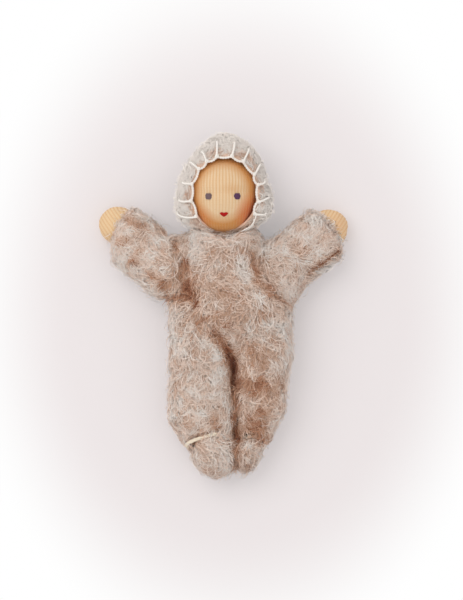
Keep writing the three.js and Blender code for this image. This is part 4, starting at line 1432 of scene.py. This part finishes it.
class DOLL_OT_hood(bpy.types.Operator):
    """Makes the hood with its rolled edge, its pile and its blanket stitch"""

    bl_idname = "doll.hood"
    bl_label = "Hood"

    def execute(self, context):
        cloth = self.shell()
        self.pile_on(cloth)
        self.blanket_stitch()
        return {"FINISHED"}

    def shell(self):
        """A shell of two parameters: the angle round the opening, and the way along a profile that goes from
        the back up the inside to the edge, round it in a half circle, and down the outside to the back."""
        sides, steps, inset, roll = 150, 50, pile_height() * HOOD_PILE["high"], HOOD_WALL / 2
        angle = np.arange(sides) / sides * 2 * np.pi
        bulge = lumps()
        edge = opening_turn(angle, inset + roll, wider=roll - 0.3)
        part = np.linspace(0, 1, steps)[:-1, None] ** 1.2
        turn = edge + (np.pi - edge) * part
        ways = round_hood(angle + 0 * turn, turn)
        reach = hood_reach(ways) - inset
        swell = 0.7 * bulge(ways * reach[..., None] + HEAD) * np.minimum(part * 4, 1)
        outer = ways * (reach + swell)[..., None]
        inner = ways * (reach - HOOD_WALL)[..., None]
        rim, front = round_hood(angle, edge), opening_axes()[0]
        inwards = flattened(front, rim)
        middle = rim * (hood_reach(rim) - inset - roll)[:, None]
        half_turn = np.linspace(0, np.pi, 9)[1:-1, None, None]
        lip = middle + roll * (np.cos(half_turn) * rim + np.sin(half_turn) * inwards)
        rings = np.concatenate([inner[::-1], lip[::-1], outer])
        back = -front * (hood_reach(-front) - inset)
        first = back * (1 - HOOD_WALL / np.linalg.norm(back))
        points = above_table(np.concatenate([[first], rings.reshape(-1, 3), [back]]) + HEAD)
        made("hood_plush", points, closed_grid(len(rings), sides), "backing", "head", "hood")
        outside, _, end = closed_grid(len(outer), sides)
        outer = np.concatenate([[outer[0, 0]], outer.reshape(-1, 3), [back]]) + HEAD
        return above_table(outer), [outside, end]

    def pile_on(self, cloth):
        """The hood's pile, in patches that are darker near the opening and at the chin."""

        def comb(points):
            return (points - HEAD) * (1, 1, -0.6) + (0, 2.0, -4.0)

        def pale(points):
            angle, past = past_opening(points)
            spots = 0.7 * bell(past * HOOD_RADIUS - 1.8, 1.3)
            spots *= np.clip(0.6 + 0.8 * PATCHES(points + 30.0, 2.2), 0, 1)
            chin = np.clip(-3.0 * np.sin(angle) - 1.5, 0, 1)
            return (0.46 - spots) * (1 - chin) - 0.12 * chin

        both_piles(
            "hood_pile", hood_form, cloth, (6500, 2800), comb, "head", [drawn_in(trunk_form, pile_height())],
            height=HEAD[2], steps=(5, 5), look=HOOD_PILE, clear=off_face, pale=pale,
        )

    def blanket_stitch(self):
        """White thread along the opening's edge, which sags towards the face between stitches, a stitch out
        from the edge at each, with a small knot where they meet, and the loose ends at the chin."""
        stitches = sorted(STITCHES)
        starts = np.radians([stitch[0] for stitch in stitches])
        angle = np.radians(np.linspace(stitches[0][0] - 1, stitches[-1][0] + 1, 300))
        gap = np.abs(np.sin(np.pi * np.interp(angle, starts, np.arange(len(starts)))))
        shells = [self.laid(angle, opening_turn(angle, wider=0.1 - 0.32 * gap), -0.55 - 0.3 * gap, 0.39)]
        random = np.random.default_rng(21)
        part, wound = np.linspace(-0.1, 1, 26), np.linspace(0, 2.6 * np.pi, 22)
        arch = np.sin(np.pi * np.clip(part, 0, 1))
        high = 0.15 + 0.35 * arch**0.7 - 5.0 * np.clip(part - 0.86, 0, 1)
        for (start, end, long), knot in zip(stitches, starts):
            angle = np.radians(start + (end - start) * part + random.normal(0, 1.2) * arch)
            shells.append(self.laid(angle, opening_turn(angle) + part * long / HOOD_RADIUS, high, 0.37))
            turn = opening_turn(knot + 0 * wound) + 0.03 * np.sin(wound)
            shells.append(self.laid(knot + 0.035 * np.cos(wound), turn, -0.1, 0.25, sides=6, plies=1))
        for ends in LOOSE_ENDS:
            at = np.linspace(0, len(ends) - 1, 24)
            degrees, out = (eased(np.arange(len(ends)), column, at) for column in np.array(ends).T)
            angle = np.radians(degrees)
            shells.append(self.laid(angle, opening_turn(angle) + out / HOOD_RADIUS, 0.25, 0.27))
        threads("blanket_stitch", shells, "thread", "head", "hood_edging")

    def laid(self, angle, turn, high, thick, sides=7, plies=2):
        """A thread laid over the hood, at a height above its outside."""
        way = round_hood(angle, turn)
        return tube(way * (hood_reach(way) + high)[:, None] + HEAD, thick, sides, plies=plies)


class DOLL_OT_stage(bpy.types.Operator):
    """Sets the pale table, the soft lamps and the camera straight above the doll"""

    bl_idname = "doll.stage"
    bl_label = "Stage"

    def execute(self, context):
        settings = context.scene.doll_stage
        self.floor(settings)
        self.sky(context, settings)
        self.lamp(context, settings)
        camera = bpy.data.objects.new("camera", bpy.data.cameras.new("camera"))
        context.scene.collection.objects.link(camera)
        camera.location = [c * MM for c in VIEW_MIDDLE]
        camera.location[2] += settings.distance
        camera.data.lens = camera.data.sensor_width * settings.distance / (SHOWN_HEIGHT * MM)
        camera.data.clip_start = 0.05
        context.scene.camera = camera
        context.scene.view_settings.view_transform = "Standard"
        return {"FINISHED"}

    def for_eye(self, tree):
        """1 for rays that come from the camera, straight or by way of something glossy or clear, else 0."""
        seen = node(tree, "ShaderNodeLightPath").outputs
        straight = maths(tree, "MAXIMUM", seen["Is Camera Ray"], seen["Is Glossy Ray"])
        return maths(tree, "MAXIMUM", straight, seen["Is Transmission Ray"])

    def floor(self, settings):
        """A round table top. Near the doll it is lit cloth, with a quarter of plain white glow for the camera
        as painted light that lightens the doll's shadow, and past it the camera sees plain white.
        """
        sides, radii = 96, (60.0, 200.0, 3000.0)
        turn = np.arange(sides) / sides * 2 * np.pi
        circle = np.stack([np.cos(turn), np.sin(turn), 0 * turn], -1)
        points = np.concatenate([[(0, 0, 0)], *(radius * circle for radius in radii)])
        quads, first, _ = closed_grid(len(radii), sides)
        mesh = bpy.data.meshes.new("table")
        mesh.from_pydata((points * MM).tolist(), [], [*first.tolist(), *quads.tolist()])
        table = bpy.data.objects.new("table", mesh)
        bpy.context.scene.collection.objects.link(table)
        cloth, tree, shader = new_material("table", 1.0)
        shader.inputs["Base Color"].default_value = (*settings.floor, 1.0)
        near = glow(tree, (2.0, -2.0, 0.0), (82.0, 108.0, 50.0))
        # Painted light: near the doll a quarter of what the camera sees is white glow, lightening the doll's
        # shadow
        fade = span(tree, near, (0.02, 0.42), (1.0, 0.25), interpolation_type="SMOOTHSTEP")
        white = node(tree, "ShaderNodeEmission", {"Color": (1, 1, 1, 1), "Strength": 1.0}).outputs["Emission"]
        share = maths(tree, "MULTIPLY", fade, self.for_eye(tree))
        mix = node(tree, "ShaderNodeMixShader", {0: share, 1: shader.outputs["BSDF"], 2: white})
        tree.links.new(mix.outputs["Shader"], tree.nodes["Material Output"].inputs["Surface"])
        mesh.materials.append(cloth)

    def sky(self, context, settings):
        """Even light from all round, which the camera sees as plain white."""
        world = bpy.data.worlds.new("studio")
        context.scene.world = world
        world.use_nodes = True
        tree = world.node_tree
        background = tree.nodes["Background"]
        background.inputs["Color"].default_value = (1.0, 0.99, 0.985, 1)
        background.inputs["Strength"].default_value = settings.fill
        white = node(tree, "ShaderNodeBackground", {"Color": (1, 1, 1, 1), "Strength": 1.0})
        both = {1: background.outputs["Background"], 2: white.outputs["Background"]}
        mix = node(tree, "ShaderNodeMixShader", {0: self.for_eye(tree), **both})
        tree.links.new(mix.outputs["Shader"], tree.nodes["World Output"].inputs["Surface"])

    def lamp(self, context, settings):
        """A soft square lamp at the upper left, turned towards the doll."""
        light = bpy.data.lights.new("key", "AREA")
        light.shape = "SQUARE"
        light.size = 0.5
        light.energy = settings.key
        light.color = (1.0, 0.985, 0.965)
        lamp = bpy.data.objects.new("key", light)
        lamp.location = (-0.30, 0.28, 0.62)
        lamp.rotation_mode = "QUATERNION"
        lamp.rotation_quaternion = (-lamp.location).to_track_quat("-Z", "Y")
        context.scene.collection.objects.link(lamp)


OPERATORS = (
    DOLL_OT_trunk,
    DOLL_OT_sleeves,
    DOLL_OT_hands,
    DOLL_OT_legs,
    DOLL_OT_head,
    DOLL_OT_hood,
    DOLL_OT_stage,
)


class DOLL_PT_panel(bpy.types.Panel):
    """The doll's pieces, sizes and colours"""

    bl_idname = "DOLL_PT_panel"
    bl_label = "Stuffed baby doll"
    bl_space_type = "VIEW_3D"
    bl_region_type = "UI"
    bl_category = "Doll"

    def draw(self, context):
        layout = self.layout
        for operator in OPERATORS:
            layout.operator(operator.bl_idname)
        for group in (context.scene.doll_pile, context.scene.doll_colours, context.scene.doll_stage):
            box = layout.box()
            for key in group.__annotations__:
                box.prop(group, key)


CLASSES = (DollPile, DollColours, DollStage, *OPERATORS, DOLL_PT_panel)


def register():
    """Adds the classes and the doll's settings to Blender."""
    for one in CLASSES:
        bpy.utils.register_class(one)
    bpy.types.Scene.doll_pile = PointerProperty(type=DollPile)
    bpy.types.Scene.doll_colours = PointerProperty(type=DollColours)
    bpy.types.Scene.doll_stage = PointerProperty(type=DollStage)


def unregister():
    """Takes the classes and the doll's settings away again."""
    del bpy.types.Scene.doll_stage, bpy.types.Scene.doll_colours, bpy.types.Scene.doll_pile
    for one in reversed(CLASSES):
        bpy.utils.unregister_class(one)


def main():
    """Makes the whole doll and its stage."""
    register()
    for operator in OPERATORS:
        group, name = operator.bl_idname.split(".")
        getattr(getattr(bpy.ops, group), name)()


if __name__ == "__main__":
    main()
